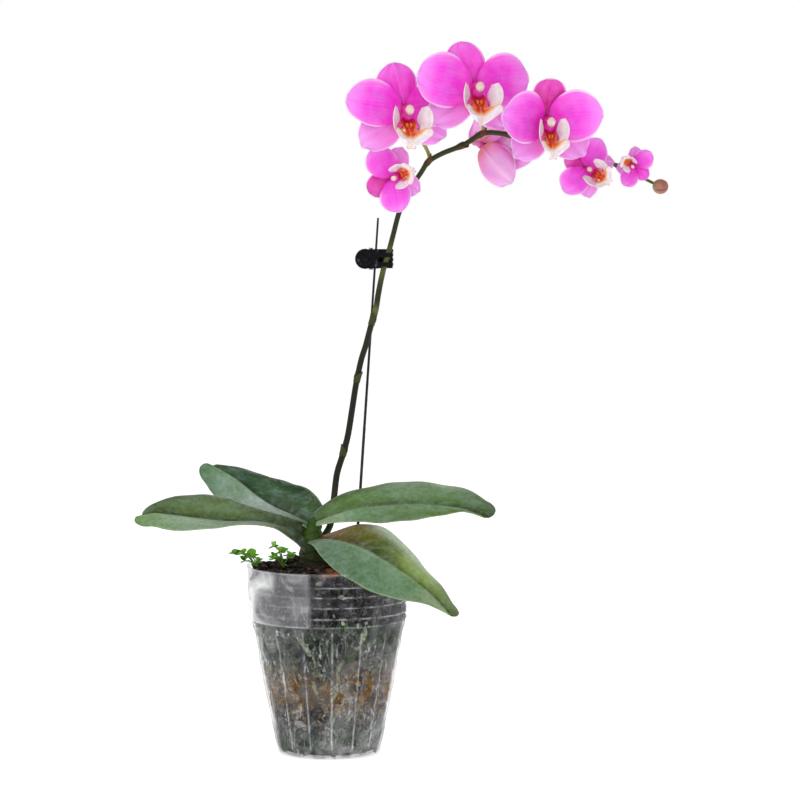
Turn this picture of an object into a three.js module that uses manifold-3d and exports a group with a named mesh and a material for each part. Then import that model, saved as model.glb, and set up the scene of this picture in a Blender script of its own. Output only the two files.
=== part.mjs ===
// A moth orchid in a clear plastic nursery pot. Millimetres, +Z up, the origin at the centre of the pot's
// underside, +X along the arch of the flower spike and -Y towards the side that the flowers face.
import * as THREE from "three";
import { mergeVertices } from "three/addons/utils/BufferGeometryUtils.js";
import Module from "manifold-3d";

const wasm = await Module();
wasm.setup();

// ---- Driving dimensions -------------------------------------------------------------------------------

const SEAT = 0.3; // clearance between pieces that touch

const POT = {
  height: 139.5,
  rimRadius: 61,
  ledgeRadius: 58.2, // step where the smooth collar meets the ribbed body
  ledgeHeight: 100,
  bodyRadius: 56.6, // top of the ribbed body, just under the ledge
  baseRadius: 38.5,
  baseRounding: 3,
  wall: 0.9,
  floor: 1.6,
  segments: 32,
  ribs: 16,
  ribTurn: 4, // the first rib stands this far round from +X, degrees
  ribWidth: 1.4,
  ribProud: 0.7,
  holes: 6,
  holeRadius: 3.5,
  holeCircle: 25,
};

const BARK = { edgeHeight: 137, shoulderHeight: 139.5, crownHeight: 141.5, wallGap: 0.5, segments: 28 };

const CROWN = {
  route: [[-9, 1, 104], [-10, 0, 126], [-12, 0, 147.5], [-12.5, 0, 167.5], [-11.5, 0, 176.5]],
  radii: [7, 9.5, 9.5, 8, 4.5],
};

// Each root leaves the short stem, runs out to the pot's wall and down along it.
const ROOTS = [
  { turn: -115, top: 118, foot: 14, sweep: 35 },
  { turn: -60, top: 122, foot: 40, sweep: -30 },
  { turn: -165, top: 114, foot: 62, sweep: 25 },
  { turn: -10, top: 120, foot: 24, sweep: 25 },
  { turn: 105, top: 116, foot: 34, sweep: -45 },
];
const ROOT_RADIUS = 2.1;

// A leaf is folded along its midrib, which is given from the stem to the tip. width is half the blade at its
// widest, base the share of that at the stem and widest where it is reached. roll tips the near edge down and
// fold lifts both halves into a V, in degrees from the stem to the tip.
const LEAVES = [
  {
    name: "leaf_left_low",
    midrib: [
      [-17, -2, 160.5], [-33, -9, 165], [-52, -14, 169.5], [-71, -19, 172.5], [-94, -23, 177],
      [-113, -26, 180.5], [-131, -28, 182], [-141, -29, 176.5],
    ],
    width: 25,
    base: 0.26,
    widest: 0.6,
    roll: [12, 14, 15, 18, 26, 30],
    fold: [8, 14, 15, 12, 5, 0],
    color: 0x4a6b4c,
  },
  {
    name: "leaf_left_high",
    midrib: [
      [-15, 7, 171], [-30, 16, 177.5], [-43, 21, 182.5], [-56, 22, 187], [-71, 27, 196.5], [-86, 32, 205],
      [-95, 34, 207.5],
    ],
    width: 26,
    base: 0.36,
    widest: 0.42,
    roll: [12, 44, 44, 41, 37, 34],
    fold: [14, 20, 4, -8, -14, -15],
    color: 0x5d7d63,
  },
  {
    name: "leaf_right_high",
    midrib: [
      [-9, -3, 171], [7, -4.5, 177.5], [22, -5.5, 182], [42, -6, 184.5], [68, -6, 185.5], [97, -7, 183],
      [118.5, -8, 174.5],
    ],
    width: 24,
    base: 0.38,
    widest: 0.46,
    roll: [20, 28, 34, 35, 30, 28],
    fold: [10, 13, 7, 10, 22, 26],
    color: 0x4c7a52,
  },
  {
    name: "leaf_right_low",
    midrib: [
      [-10.5, -5, 158], [4, -26, 161], [17.5, -44, 160.5], [33, -57, 155.5], [54.5, -69, 143],
      [74.5, -77, 128.5], [88.5, -81.5, 114.5],
    ],
    width: 25,
    base: 0.26,
    widest: 0.44,
    roll: [14, 30, 44, 34, 16, 10],
    fold: [8, 6, -10, -28, -18, -10],
    color: 0x5f8068,
  },
];
const LEAF_THICKNESS = 2.2;

const SPIKE = {
  route: [
    [-5.9, 9.4, 157], [1, 13, 168.5], [3.7, 12.5, 188.5], [6, 10.5, 206.5], [10.5, 8.5, 221.5],
    [14.3, 6.5, 236], [17.7, 4.5, 257], [20.4, 3, 274], [24.1, 1.5, 291.5], [27.8, 0.5, 303.5],
    [31.5, 0, 317.5], [34.9, 0, 328.5], [36.8, 0, 340], [39, 0, 351.5], [41.9, 0, 363.5], [44.9, 0, 373],
    [47.8, 0, 384], [53, 0, 403], [61, 1, 419], [68.5, 1, 430.5], [74, 1, 438.5], [84, 2, 444.5], [100, 3, 451],
    [115, 4, 459.5], [133, 5, 458.5], [156.5, 5, 453], [182, 4, 447], [204, 3, 439.5], [223, 2, 431],
  ],
  radii: [2.5, 2.4, 2.3, 2.2, 2.1, 1.5, 1.35, 1.3, 1.2, 1.15, 1.1],
};

// Where a bract clasps the stem, as a share of the spike's length.
const BRACTS = [0.15, 0.27, 0.345];

// hub is the middle of the flower's face. The face is turned to the right by yaw and down by pitch, and the
// flower is rolled anticlockwise seen from its front. node is where its stalk leaves the spike, in X and Z;
// open 1 is fully open, and less than that leans the petals forward like a bell. turns swings single petals
// and sepals anticlockwise, and lip is the size of the lip as a share of its usual size.
const FLOWERS = [
  {
    name: "flower_1", hub: [56, -26, 476.2], size: 92, yaw: 19, pitch: 4, node: [74, 439],
    turns: { dorsal_sepal: 10 },
  },
  {
    name: "flower_2", hub: [107, -28, 492.5], size: 91, yaw: 18, pitch: 3, node: [92, 448],
    turns: { dorsal_sepal: 12 },
  },
  {
    name: "flower_3", hub: [159, -35, 468], size: 87, yaw: 15, pitch: 8, roll: 2, open: 0.6,
    node: [134, 458],
  },
  {
    name: "flower_4", hub: [47.3, -15, 426.6], size: 54, yaw: 10, pitch: 2, roll: 113, node: [61, 417],
    turns: { dorsal_sepal: 8 },
  },
  {
    name: "flower_5", hub: [119, 30, 450.5], size: 88, yaw: 116, pitch: 18, roll: 16, open: 0.6,
    node: [103, 452], turns: { sepal_left: -20, sepal_right: 25 }, lip: 0.75,
  },
  { name: "flower_6", hub: [190, -15, 433.3], size: 50, yaw: 12, pitch: 4, roll: 56, node: [183, 447] },
  { name: "flower_7", hub: [225, -11, 434.8], size: 34, yaw: -22, pitch: 0, roll: -131, node: [214, 435] },
];

// Shares of the flower's width: angle from the right-hand side, length, half-width, depth behind the face.
const UPPER = { widest: 0.95, depth: 0.03, lean: -4, bow: 0.05, cup: 0.1 };
const PETAL = { length: 0.455, width: 0.222, widest: 1, depth: 0, lean: 1, bow: 0.1, cup: 0.06 };
const LATERAL = { length: 0.42, width: 0.147, widest: 1, depth: 0.03, lean: -4, bow: 0.05, cup: 0.1 };
const TEPALS = {
  dorsal_sepal: { angle: 90, length: 0.35, width: 0.166, ...UPPER },
  petal_left: { angle: 171, ...PETAL },
  petal_right: { angle: 9, ...PETAL },
  sepal_left: { angle: 222, ...LATERAL },
  sepal_right: { angle: 318, ...LATERAL },
};
const CLAW = 0.019; // half-width of a petal's narrow base
const HUB_RADIUS = 0.036;
const BELL_LEAN = 68; // forward lean of the petals of a closed bell, degrees
const BELL_CUP = -0.5; // how far their edges wrap round its axis, as a share of their half-width

const BUD = { centre: [245, 0, 420.3], radius: 5.6 };

const STAKE = { foot: [12.4, 26, 30], top: [36.8, 2.1, 397], footRadius: 1.1, topRadius: 0.77 };

// A claw clip; outlines are in plan from the hinge pin, for the half behind the stem.
const CLIP = {
  pin: [31.6, 2.2],
  low: 359.4,
  high: 374.6,
  disc: { radius: 7.4, thickness: 1.5, centre: [-5.6, 3.75], flare: 14 },
  arm: [
    [-3, 3], [0.5, 2.6], [4, 3.6], [7.5, 4.9], [12.6, 4.9], [15, 3.6], [16, 4.4], [13.2, 6.4], [7.2, 6.4],
    [3.4, 5.1], [0.5, 4.1], [-3, 4.5],
  ],
  armInset: 0.5, // how far the arm stays inside the clip's top and bottom
  tooth: [[14.2, 4.5], [15.2, 3.8], [15.7, 1], [15.25, -2.2], [16.1, -2.2], [16.6, 1], [16.1, 4.8]],
  toothHeight: 2.4,
  fingerRoot: 5.6, // how far from the pin the front arm splits into fingers
  fingerHeight: 3.2,
  cutReach: 20, // the cuts between the fingers run out past everything in front
  frontTeeth: [362.9, 369.9],
  backTeeth: [366.4, 373],
  pinRadius: 0.9,
  pinHeadRadius: 1.7,
  knuckleRadius: 2.1,
  knuckleHeight: 2.4,
  spring: { low: 365.4, high: 368.6, radius: 1.75, wire: 0.3, turns: 4 },
};

const SEEDLINGS = [
  {
    name: "seedling_outer",
    foot: [-53, -14, 138.8],
    shoots: [
      { to: [-68.5, -16, 149.5], sag: 5, leaf: 3.4 },
      { to: [-62.5, -17, 150], sag: 3, leaf: 3.8 },
      { to: [-56, -18, 147.5], sag: 2, leaf: 4.4 },
      { to: [-61.5, -18, 144.8], sag: 2, leaf: 3.6 },
      { to: [-52, -22, 144], sag: 0, leaf: 3.6 },
    ],
  },
  {
    name: "seedling_inner",
    foot: [-33, -22, 140.6],
    shoots: [
      { to: [-40, -24, 156], sag: 6, leaf: 3.2 },
      { to: [-34.5, -26, 152.5], sag: 2, leaf: 4.4 },
      { to: [-39, -27, 147.5], sag: 2, leaf: 4.2 },
      { to: [-28, -26, 149.5], sag: 1, leaf: 3.8 },
    ],
  },
];

// ---- Tools --------------------------------------------------------------------------------------------

const radians = THREE.MathUtils.degToRad;
const vector = (point) => new THREE.Vector3(...point);

// A closed geometry as a solid that can be joined and cut.
function solid(geometry) {
  const bare = geometry.clone();
  for (const name of Object.keys(bare.attributes)) {
    if (name !== "position") bare.deleteAttribute(name);
  }
  const merged = mergeVertices(bare, 1e-4);
  return new wasm.Manifold(
    new wasm.Mesh({
      numProp: 3,
      vertProperties: merged.attributes.position.array,
      triVerts: new Uint32Array(merged.index.array),
    }),
  );
}

function geometryOf(body) {
  const mesh = body.getMesh();
  return new THREE.BufferGeometry()
    .setAttribute("position", new THREE.BufferAttribute(mesh.vertProperties, 3))
    .setIndex(new THREE.BufferAttribute(mesh.triVerts, 1));
}

const join = (geometries) => geometries.map(solid).reduce((a, b) => a.add(b));

// Moves every vertex of a geometry to where the map sends it.
function bend(geometry, map) {
  const position = geometry.attributes.position;
  const vertex = new THREE.Vector3();
  for (let i = 0; i < position.count; i++) {
    vertex.fromBufferAttribute(position, i);
    position.setXYZ(i, ...map(vertex.x, vertex.y, vertex.z).toArray());
  }
  return geometry;
}

// A round tube along a smooth curve through the points. radius(t) is its radius at share t of the length.
function tube(points, radius, steps, sides) {
  const curve = new THREE.CatmullRomCurve3(points.map(vector), false, "centripetal");
  const frames = curve.computeFrenetFrames(steps, false);
  return bend(new THREE.CylinderGeometry(1, 1, 1, sides, steps), (x, y, z) => {
    const t = y + 0.5;
    const row = Math.round(t * steps);
    return curve
      .getPointAt(t)
      .addScaledVector(frames.normals[row], x * radius(t))
      .addScaledVector(frames.binormals[row], -z * radius(t));
  });
}

// A thin sheet of even thickness on the surface point(u, v), with u from 0 to 1 and v from -1 to 1.
function sheet(point, thickness, rows, columns) {
  const step = 1e-3;
  return bend(new THREE.BoxGeometry(1, 1, 1, rows, columns, 1), (x, y, z) => {
    const u = x + 0.5;
    const v = 2 * y;
    const along = point(Math.min(u + step, 1), v).sub(point(Math.max(u - step, 0), v));
    const across = point(u, Math.min(v + step, 1)).sub(point(u, Math.max(v - step, -1)));
    const normal = along.cross(across).normalize();
    return point(u, v).addScaledVector(normal, z * thickness);
  });
}

function blend(values, t) {
  const scaled = THREE.MathUtils.clamp(t, 0, 1) * (values.length - 1);
  const index = Math.min(Math.floor(scaled), values.length - 2);
  return THREE.MathUtils.lerp(values[index], values[index + 1], scaled - index);
}

// A solid of revolution about +Z from [radius, z] points.
function turned(profile, segments) {
  const points = profile.map(([radius, z]) => new THREE.Vector2(radius, z));
  return new THREE.LatheGeometry(points, segments).rotateX(Math.PI / 2);
}

// A plate of the outline [[x, y]...] between two heights.
function plate(outline, low, high) {
  const shape = new THREE.Shape(outline.map(([x, y]) => new THREE.Vector2(x, y)));
  return new THREE.ExtrudeGeometry(shape, { depth: high - low, bevelEnabled: false }).translate(0, 0, low);
}

// A round bar on the Z axis between two heights.
function bar(radius, low, high, sides) {
  return new THREE.CylinderGeometry(radius, radius, high - low, sides)
    .rotateX(Math.PI / 2)
    .translate(0, 0, (low + high) / 2);
}

const rounded = (t) => (1 - Math.cos(Math.PI * t)) / 2;

const root = new THREE.Group();
root.name = "potted_orchid";

function addMesh(name, geometry, color, roughness, parent = root) {
  const material = new THREE.MeshStandardMaterial({ color, roughness, metalness: 0 });
  const mesh = new THREE.Mesh(geometry, material);
  mesh.name = name;
  parent.add(mesh);
  return mesh;
}

// ---- Pot ----------------------------------------------------------------------------------------------

// The wall's outside from the foot to the rim; inset moves it inwards.
function potProfile(inset) {
  const { baseRadius, baseRounding, bodyRadius, ledgeRadius, ledgeHeight, rimRadius, height } = POT;
  const foot = [0, 30, 60, 90].map((turn) => [
    baseRadius - inset - baseRounding * (1 - Math.sin(radians(turn))),
    baseRounding * (1 - Math.cos(radians(turn))),
  ]);
  return [
    ...foot,
    [bodyRadius - inset, ledgeHeight - 1.5],
    [ledgeRadius - inset, ledgeHeight],
    [ledgeRadius + 0.6 - inset, ledgeHeight + 3],
    [rimRadius - 0.6 - inset, height - 2.5],
    [rimRadius - inset, height],
  ];
}

function makePot() {
  const outside = potProfile(0);
  const inside = potProfile(POT.wall).slice(3).reverse();
  const floorRadius = POT.baseRadius - POT.wall - 0.6;
  const profile = [[0, 0], ...outside, ...inside, [floorRadius, POT.floor], [0, POT.floor]];
  let pot = solid(turned(profile, POT.segments));
  const low = POT.baseRounding + 2;
  const high = POT.ledgeHeight - 1.5;
  const lean = Math.atan2(POT.bodyRadius - POT.baseRadius, high - POT.baseRounding);
  const middle = (POT.bodyRadius + POT.baseRadius) / 2;
  for (let i = 0; i < POT.ribs; i++) {
    const rib = new THREE.BoxGeometry(2 * POT.ribProud, POT.ribWidth, (high - low) / Math.cos(lean))
      .rotateY(lean)
      .translate(middle, 0, (low + high) / 2)
      .rotateZ(radians(POT.ribTurn + (360 * i) / POT.ribs));
    pot = pot.add(solid(rib));
  }
  for (let i = 0; i < POT.holes; i++) {
    const drill = bar(POT.holeRadius, -POT.floor, 2 * POT.floor, 10)
      .translate(POT.holeCircle, 0, 0)
      .rotateZ((2 * Math.PI * i) / POT.holes);
    pot = pot.subtract(solid(drill));
  }
  addMesh("pot", geometryOf(pot), 0xc9ccd2, 0.25).material.transparent = true;
}

// ---- Stem, roots and bark -----------------------------------------------------------------------------

function wallRadius(z) {
  const inner = potProfile(POT.wall).slice(3);
  const above = Math.max(1, inner.findIndex(([, height]) => height >= z));
  const [r0, z0] = inner[above - 1];
  const [r1, z1] = inner[above];
  return THREE.MathUtils.lerp(r0, r1, (z - z0) / (z1 - z0));
}

function rootRoute({ turn, top, foot, sweep }) {
  const start = [-9, 0, top];
  const wall = [0, 0.33, 0.66, 1].map((t) => {
    const z = THREE.MathUtils.lerp(top - 22, foot, t);
    const reach = wallRadius(z) - BARK.wallGap - 6;
    const angle = radians(turn + sweep * t);
    return [reach * Math.cos(angle), reach * Math.sin(angle), z];
  });
  const halfway = [(start[0] + wall[0][0]) / 2, (start[1] + wall[0][1]) / 2, top - 5];
  return [start, halfway, ...wall];
}

// The short stem with its roots, fattened all over by extra.
function stemAndRoots(extra) {
  const stem = tube(CROWN.route, (t) => blend(CROWN.radii, t) + extra, 8, 12);
  const girth = (t) => ROOT_RADIUS * (1 - 0.35 * t) + extra;
  const roots = ROOTS.map((each) => tube(rootRoute(each), girth, 10, 6));
  return join([stem, ...roots]);
}

function stakeTube(extra) {
  const { foot, top, footRadius, topRadius } = STAKE;
  return tube([foot, top], (t) => THREE.MathUtils.lerp(footRadius, topRadius, t) + extra, 1, 8);
}

function makeBark() {
  const inside = potProfile(POT.wall + BARK.wallGap).slice(3, -2);
  const rise = wallRadius(BARK.edgeHeight) - BARK.wallGap;
  const profile = [
    [0, POT.floor + BARK.wallGap],
    [inside[0][0] - 1.5, POT.floor + BARK.wallGap],
    ...inside,
    [rise, BARK.edgeHeight],
    [0.6 * rise, BARK.shoulderHeight],
    [0, BARK.crownHeight],
  ];
  const bark = solid(turned(profile, BARK.segments))
    .subtract(stemAndRoots(SEAT))
    .subtract(solid(stakeTube(SEAT)));
  addMesh("bark_mix", geometryOf(bark), 0x5b4433, 0.95);
}

// ---- Leaves -------------------------------------------------------------------------------------------

// Half-width of a leaf at share u of its length: a clasping sheath, then a long oval blade.
function leafWidth(u, { width, base, widest }) {
  if (u < widest) return width * (base + (1 - base) * Math.sin((Math.PI / 2) * (u / widest)) ** 1.3);
  return width * Math.sqrt(Math.max(1 - ((u - widest) / (1 - widest)) ** 2, 0.004));
}

function leafSheet(leaf) {
  const curve = new THREE.CatmullRomCurve3(leaf.midrib.map(vector), false, "centripetal");
  const up = new THREE.Vector3(0, 0, 1);
  return sheet(
    (t, v) => {
      const u = 0.35 * t + 0.65 * Math.sin((Math.PI / 2) * t);
      const tangent = curve.getTangentAt(u);
      const side = up.clone().cross(tangent).normalize();
      if (side.y < 0) side.negate();
      side.applyAxisAngle(tangent, radians(blend(leaf.roll, u)) * (tangent.x > 0 ? 1 : -1));
      const lift = tangent.clone().cross(side).normalize();
      if (lift.z < 0) lift.negate();
      const half = leafWidth(u, leaf);
      const fold = radians(blend(leaf.fold, u));
      const rise = Math.abs(v) * half * Math.sin(fold) * (1 - 0.35 * v * v);
      return curve
        .getPointAt(u)
        .addScaledVector(side, v * half * Math.cos(fold))
        .addScaledVector(lift, rise);
    },
    LEAF_THICKNESS,
    12,
    4,
  );
}

// ---- Flowers ------------------------------------------------------------------------------------------

const petalThickness = (size) => 0.1 + 0.008 * size;

// A sepal or petal: a narrow claw that widens into a rounded blade.
function tepalSheet(shape, size, open, turn) {
  const angle = radians(shape.angle + turn);
  const outward = new THREE.Vector3(Math.cos(angle), 0, Math.sin(angle));
  const sideways = new THREE.Vector3(-Math.sin(angle), 0, Math.cos(angle));
  const back = new THREE.Vector3(0, 1, 0);
  const lean = radians(THREE.MathUtils.lerp(BELL_LEAN + 2 * shape.lean, shape.lean, open));
  const cup = THREE.MathUtils.lerp(BELL_CUP, shape.cup, open);
  const start = HUB_RADIUS * size + SEAT;
  return sheet(
    (t, v) => {
      const s = 0.25 * t + 0.75 * rounded(t);
      const blade = Math.sin(Math.PI * Math.min(s, 0.995) ** shape.widest) ** 0.62;
      const half = size * (CLAW * (1 - s) + (shape.width - CLAW * (1 - s)) * blade);
      const reach = shape.length * size * s;
      const curl = shape.bow * shape.length * size * s * s + cup * half * v * v;
      return outward
        .clone()
        .multiplyScalar(start + reach * Math.cos(lean) + curl * Math.sin(lean))
        .addScaledVector(sideways, v * half)
        .addScaledVector(back, shape.depth * size - reach * Math.sin(lean) + curl * Math.cos(lean));
    },
    petalThickness(size),
    6,
    4,
  );
}

// The lip: two side lobes that stand up round the column, and a narrower tongue that hangs in front.
function lipSheet(size, open, share) {
  const thickness = petalThickness(size);
  const seat = 0.0255 + (SEAT + thickness / 2) / size;
  const spine = new THREE.QuadraticBezierCurve3(
    new THREE.Vector3(0, -0.045, -seat),
    new THREE.Vector3(0, -0.3 * share, -0.045),
    new THREE.Vector3(0, -0.17 * share, -0.31 * share),
  );
  const sideways = new THREE.Vector3(1, 0, 0);
  return sheet(
    (t, v) => {
      const width = share * blend([0, 0.19, 0.23, 0.11, 0.055, 0.08, 0.085, 0.04, 0], t);
      const half = 0.02 + (0.1 + 0.9 * open) * width;
      const sweep = radians(blend([20, 72, 84, 65, 40, 25, 20, 15, 10], t));
      const inward = spine.getTangent(t).cross(sideways).negate();
      return spine
        .getPoint(t)
        .addScaledVector(sideways, (half / sweep) * Math.sin(v * sweep))
        .addScaledVector(inward, (half / sweep) * (1 - Math.cos(v * sweep)))
        .multiplyScalar(size);
    },
    thickness,
    7,
    4,
  );
}

// The column stands out of the middle of the flower, over the lip, and ends in its anther cap.
function columnTube(size) {
  const route = [[0, 0.075, 0], [0, 0.02, 0], [0, -0.05, 0.006], [0, -0.1, 0], [0, -0.135, -0.018]];
  const radii = [0.024, HUB_RADIUS, 0.03, 0.036, 0.02];
  const points = route.map((point) => point.map((value) => value * size));
  return tube(points, (t) => size * blend(radii, t), 5, 6);
}

// The spike ends just short of the bud that it carries.
function spikeRoute() {
  const last = vector(SPIKE.route.at(-1));
  const bud = vector(BUD.centre);
  const end = bud.clone().addScaledVector(last.sub(bud).normalize(), BUD.radius + SEAT);
  return [...SPIKE.route, end.toArray()];
}

const spikeCurve = new THREE.CatmullRomCurve3(spikeRoute().map(vector), false, "centripetal");
const spikeRadius = (t) => blend(SPIKE.radii, t);

// The share of the spike's length that lies nearest to a point given in X and Z.
function shareNear([x, z]) {
  const shares = Array.from({ length: 400 }, (_, i) => i / 400);
  const away = (t) => spikeCurve.getPointAt(t).sub(new THREE.Vector3(x, 0, z)).setY(0).length();
  return shares.reduce((best, t) => (away(t) < away(best) ? t : best));
}

// The flower's stalk, from the spike to the back of its hub.
function pedicel(flower, frame) {
  const share = shareNear(flower.node);
  const foot = spikeCurve.getPointAt(share);
  const end = new THREE.Vector3(0, 0.05 * flower.size, 0).applyMatrix4(frame);
  const behind = new THREE.Vector3(0, 0.24 * flower.size, 0).applyMatrix4(frame);
  const lift = spikeCurve.getTangentAt(share).multiplyScalar(0.1 * flower.size);
  const curve = new THREE.CubicBezierCurve3(foot, foot.clone().add(lift), behind, end);
  const points = [0, 0.25, 0.5, 0.75, 1].map((t) => curve.getPoint(t).toArray());
  return tube(points, (t) => 0.9 + 0.008 * flower.size * t, 5, 5);
}

function bract(share) {
  const shares = [share - 0.006, share, share + 0.012, share + 0.024];
  const points = shares.map((t) => spikeCurve.getPointAt(t).toArray());
  const girth = spikeRadius(share);
  return tube(points, (t) => girth + blend([0.2, 1.1, 0.9, 0.25], t), 3, 8);
}

function makeFlowers() {
  const grown = [tube(spikeRoute(), spikeRadius, 44, 7), ...BRACTS.map(bract)];
  for (const flower of FLOWERS) {
    const group = new THREE.Group();
    group.position.set(...flower.hub);
    group.rotation.set(radians(flower.pitch), -radians(flower.roll ?? 0), radians(flower.yaw), "ZXY");
    root.add(group);
    group.updateMatrixWorld(true);
    const { name, size, open = 1, turns = {}, lip = 1 } = flower;
    for (const [part, shape] of Object.entries(TEPALS)) {
      const color = part.startsWith("petal") ? 0xe85ad8 : 0xd94cc4;
      addMesh(`${name}_${part}`, tepalSheet(shape, size, open, turns[part] ?? 0), color, 0.5, group);
    }
    addMesh(`${name}_lip`, lipSheet(size, open, lip), 0xf6e4ea, 0.5, group);
    grown.push(columnTube(flower.size).applyMatrix4(group.matrixWorld));
    grown.push(pedicel(flower, group.matrixWorld));
  }
  addMesh("flower_spike", geometryOf(join(grown)), 0x3f4a35, 0.55);
  const bud = new THREE.SphereGeometry(BUD.radius, 12, 8).scale(1.05, 0.9, 1).translate(...BUD.centre);
  addMesh("bud", bud, 0x9a6a55, 0.55);
}

// ---- Clip ---------------------------------------------------------------------------------------------

const block = (x0, x1, y0, y1, z0, z1) =>
  new THREE.BoxGeometry(x1 - x0, y1 - y0, z1 - z0).translate((x0 + x1) / 2, (y0 + y1) / 2, (z0 + z1) / 2);

// One half of the claw clip. side 1 is the half behind the stem and -1 its mirror image in front. gaps are
// the heights between which its arm is cut away, from the finger root to its tip.
function clipHalf(side, knuckles, teeth, gaps) {
  const { pin, low, high, disc, arm, armInset, tooth, toothHeight } = CLIP;
  const { knuckleRadius, knuckleHeight, pinRadius } = CLIP;
  const thumb = new THREE.CylinderGeometry(disc.radius, disc.radius, disc.thickness, 18)
    .translate(...disc.centre, (low + high) / 2)
    .rotateZ(-radians(disc.flare));
  const pieces = [plate(arm, low + armInset, high - armInset), thumb];
  for (const z of knuckles) {
    pieces.push(bar(knuckleRadius, z, z + knuckleHeight, 12));
    pieces.push(block(-1.4, 1.4, 0, 3.2, z, z + knuckleHeight));
  }
  for (const z of teeth) pieces.push(plate(tooth, z - toothHeight / 2, z + toothHeight / 2));
  const bore = bar(pinRadius + SEAT, low - armInset, high + armInset, 12);
  const cuts = gaps.map(([from, to]) => solid(block(CLIP.fingerRoot, CLIP.cutReach, 0, CLIP.cutReach, from, to)));
  const whole = join(pieces).subtract(solid(bore));
  const geometry = geometryOf(cuts.reduce((half, cut) => half.subtract(cut), whole));
  if (side < 0) {
    geometry.scale(1, -1, 1);
    geometry.index.array.reverse();
  }
  return geometry.translate(...pin, 0);
}

function makeClip() {
  const { pin, low, high, pinRadius, pinHeadRadius, knuckleHeight, frontTeeth, backTeeth, spring } = CLIP;
  const outer = [low + 0.5, high - 0.5 - knuckleHeight];
  const inner = [outer[0] + knuckleHeight + SEAT, outer[1] - knuckleHeight - SEAT];
  const [under, over] = frontTeeth.map((z) => [z - CLIP.fingerHeight / 2, z + CLIP.fingerHeight / 2]);
  const gaps = [[low, under[0]], [under[1], over[0]], [over[1], high]];
  addMesh("clip_jaw_front", clipHalf(-1, outer, frontTeeth, gaps), 0x17161a, 0.35);
  addMesh("clip_jaw_back", clipHalf(1, inner, backTeeth, []), 0x17161a, 0.35);
  const rod = [
    [0, low - 0.6], [pinHeadRadius, low - 0.6], [pinHeadRadius, low + 0.2], [pinRadius, low + 0.2],
    [pinRadius, high - 0.2], [pinHeadRadius, high - 0.2], [pinHeadRadius, high + 0.6], [0, high + 0.6],
  ];
  addMesh("clip_pin", turned(rod, 12).translate(...pin, 0), 0x8d8f94, 0.3);
  const steps = 8 * spring.turns;
  const coil = Array.from({ length: steps + 1 }, (_, i) => {
    const turn = (i / 8) * 2 * Math.PI;
    const z = THREE.MathUtils.lerp(spring.low, spring.high, i / steps);
    return [pin[0] + spring.radius * Math.cos(turn), pin[1] + spring.radius * Math.sin(turn), z];
  });
  addMesh("clip_spring", tube(coil, () => spring.wire, steps, 5), 0x9a9da3, 0.3);
}

// ---- Seedlings ----------------------------------------------------------------------------------------

function makeSeedling({ name, foot, shoots }) {
  const pieces = [new THREE.SphereGeometry(1.1, 8, 6).translate(...foot)];
  for (const { to, sag, leaf } of shoots) {
    const middle = foot.map((value, i) => (value + to[i]) / 2 + (i === 2 ? sag : 0));
    pieces.push(tube([foot, middle, to], (t) => 0.65 - 0.15 * t, 3, 4));
    pieces.push(new THREE.SphereGeometry(leaf, 7, 5).scale(1, 0.55, 0.8).translate(...to));
  }
  addMesh(name, geometryOf(join(pieces)), 0x4f9a2c, 0.6);
}

// ---- Assembly -----------------------------------------------------------------------------------------

makePot();
makeBark();
addMesh("stem_and_roots", geometryOf(stemAndRoots(0)), 0x5f7a4c, 0.7);
for (const leaf of LEAVES) {
  addMesh(leaf.name, geometryOf(solid(leafSheet(leaf)).subtract(stemAndRoots(SEAT))), leaf.color, 0.4);
}
makeFlowers();
addMesh("stake", stakeTube(0), 0x2b2f2a, 0.5);
makeClip();
SEEDLINGS.forEach(makeSeedling);

export default root;
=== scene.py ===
"""A moth orchid in a clear nursery pot. Lengths are in millimetres until a mesh is built, in metres."""
import math
import random

import bpy
import numpy as np
from mathutils import Matrix, Vector


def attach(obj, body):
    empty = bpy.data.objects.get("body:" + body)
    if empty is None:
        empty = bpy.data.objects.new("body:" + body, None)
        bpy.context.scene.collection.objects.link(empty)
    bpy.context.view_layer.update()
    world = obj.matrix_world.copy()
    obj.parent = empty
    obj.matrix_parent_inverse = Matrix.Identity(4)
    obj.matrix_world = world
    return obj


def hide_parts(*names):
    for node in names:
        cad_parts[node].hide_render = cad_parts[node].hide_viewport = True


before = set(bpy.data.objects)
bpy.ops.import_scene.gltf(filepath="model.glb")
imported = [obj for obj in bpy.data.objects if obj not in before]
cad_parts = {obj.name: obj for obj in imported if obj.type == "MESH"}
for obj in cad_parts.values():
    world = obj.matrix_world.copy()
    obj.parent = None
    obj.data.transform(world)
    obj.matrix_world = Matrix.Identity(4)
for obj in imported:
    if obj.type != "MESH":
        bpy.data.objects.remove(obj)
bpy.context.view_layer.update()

MM = 0.001
MATERIALS = {}  # by the names that their shaders give
random.seed(7)
rng = np.random.default_rng(7)


def lin(*rgb):
    """An sRGB colour, 0 to 255, as the linear values that shaders use."""
    return np.array([(c / 255 / 12.92) if c <= 10 else ((c / 255 + 0.055) / 1.055) ** 2.4 for c in rgb])


def shades(*colours):
    return [lin(*colour) for colour in colours]


# ---- Camera, floor and light ----

TARGET = Vector((0.053, 0.0, 0.2625))
DISTANCE = 2.2
ELEVATION = math.radians(4)
LENS, SENSOR = 133.6, 36
FLOOR_REACH = 6
FLOOR_GLOW = 0.62  # makes the floor as white as the photo's background
LIT_SPOT = Vector((0.05, 0, 0.3))  # where the lamps point
LAMPS = [  # name, place, size, power
    ("key", (-0.8, -1.1, 1.7), 0.8, 12),
    ("fill", (1.5, -1.2, 0.9), 1.2, 2.5),
    ("rim", (0.5, 1.3, 1.4), 0.9, 7),
]


def link_object(name, data):
    made = bpy.data.objects.new(name, data)
    bpy.context.scene.collection.objects.link(made)
    return made


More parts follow.
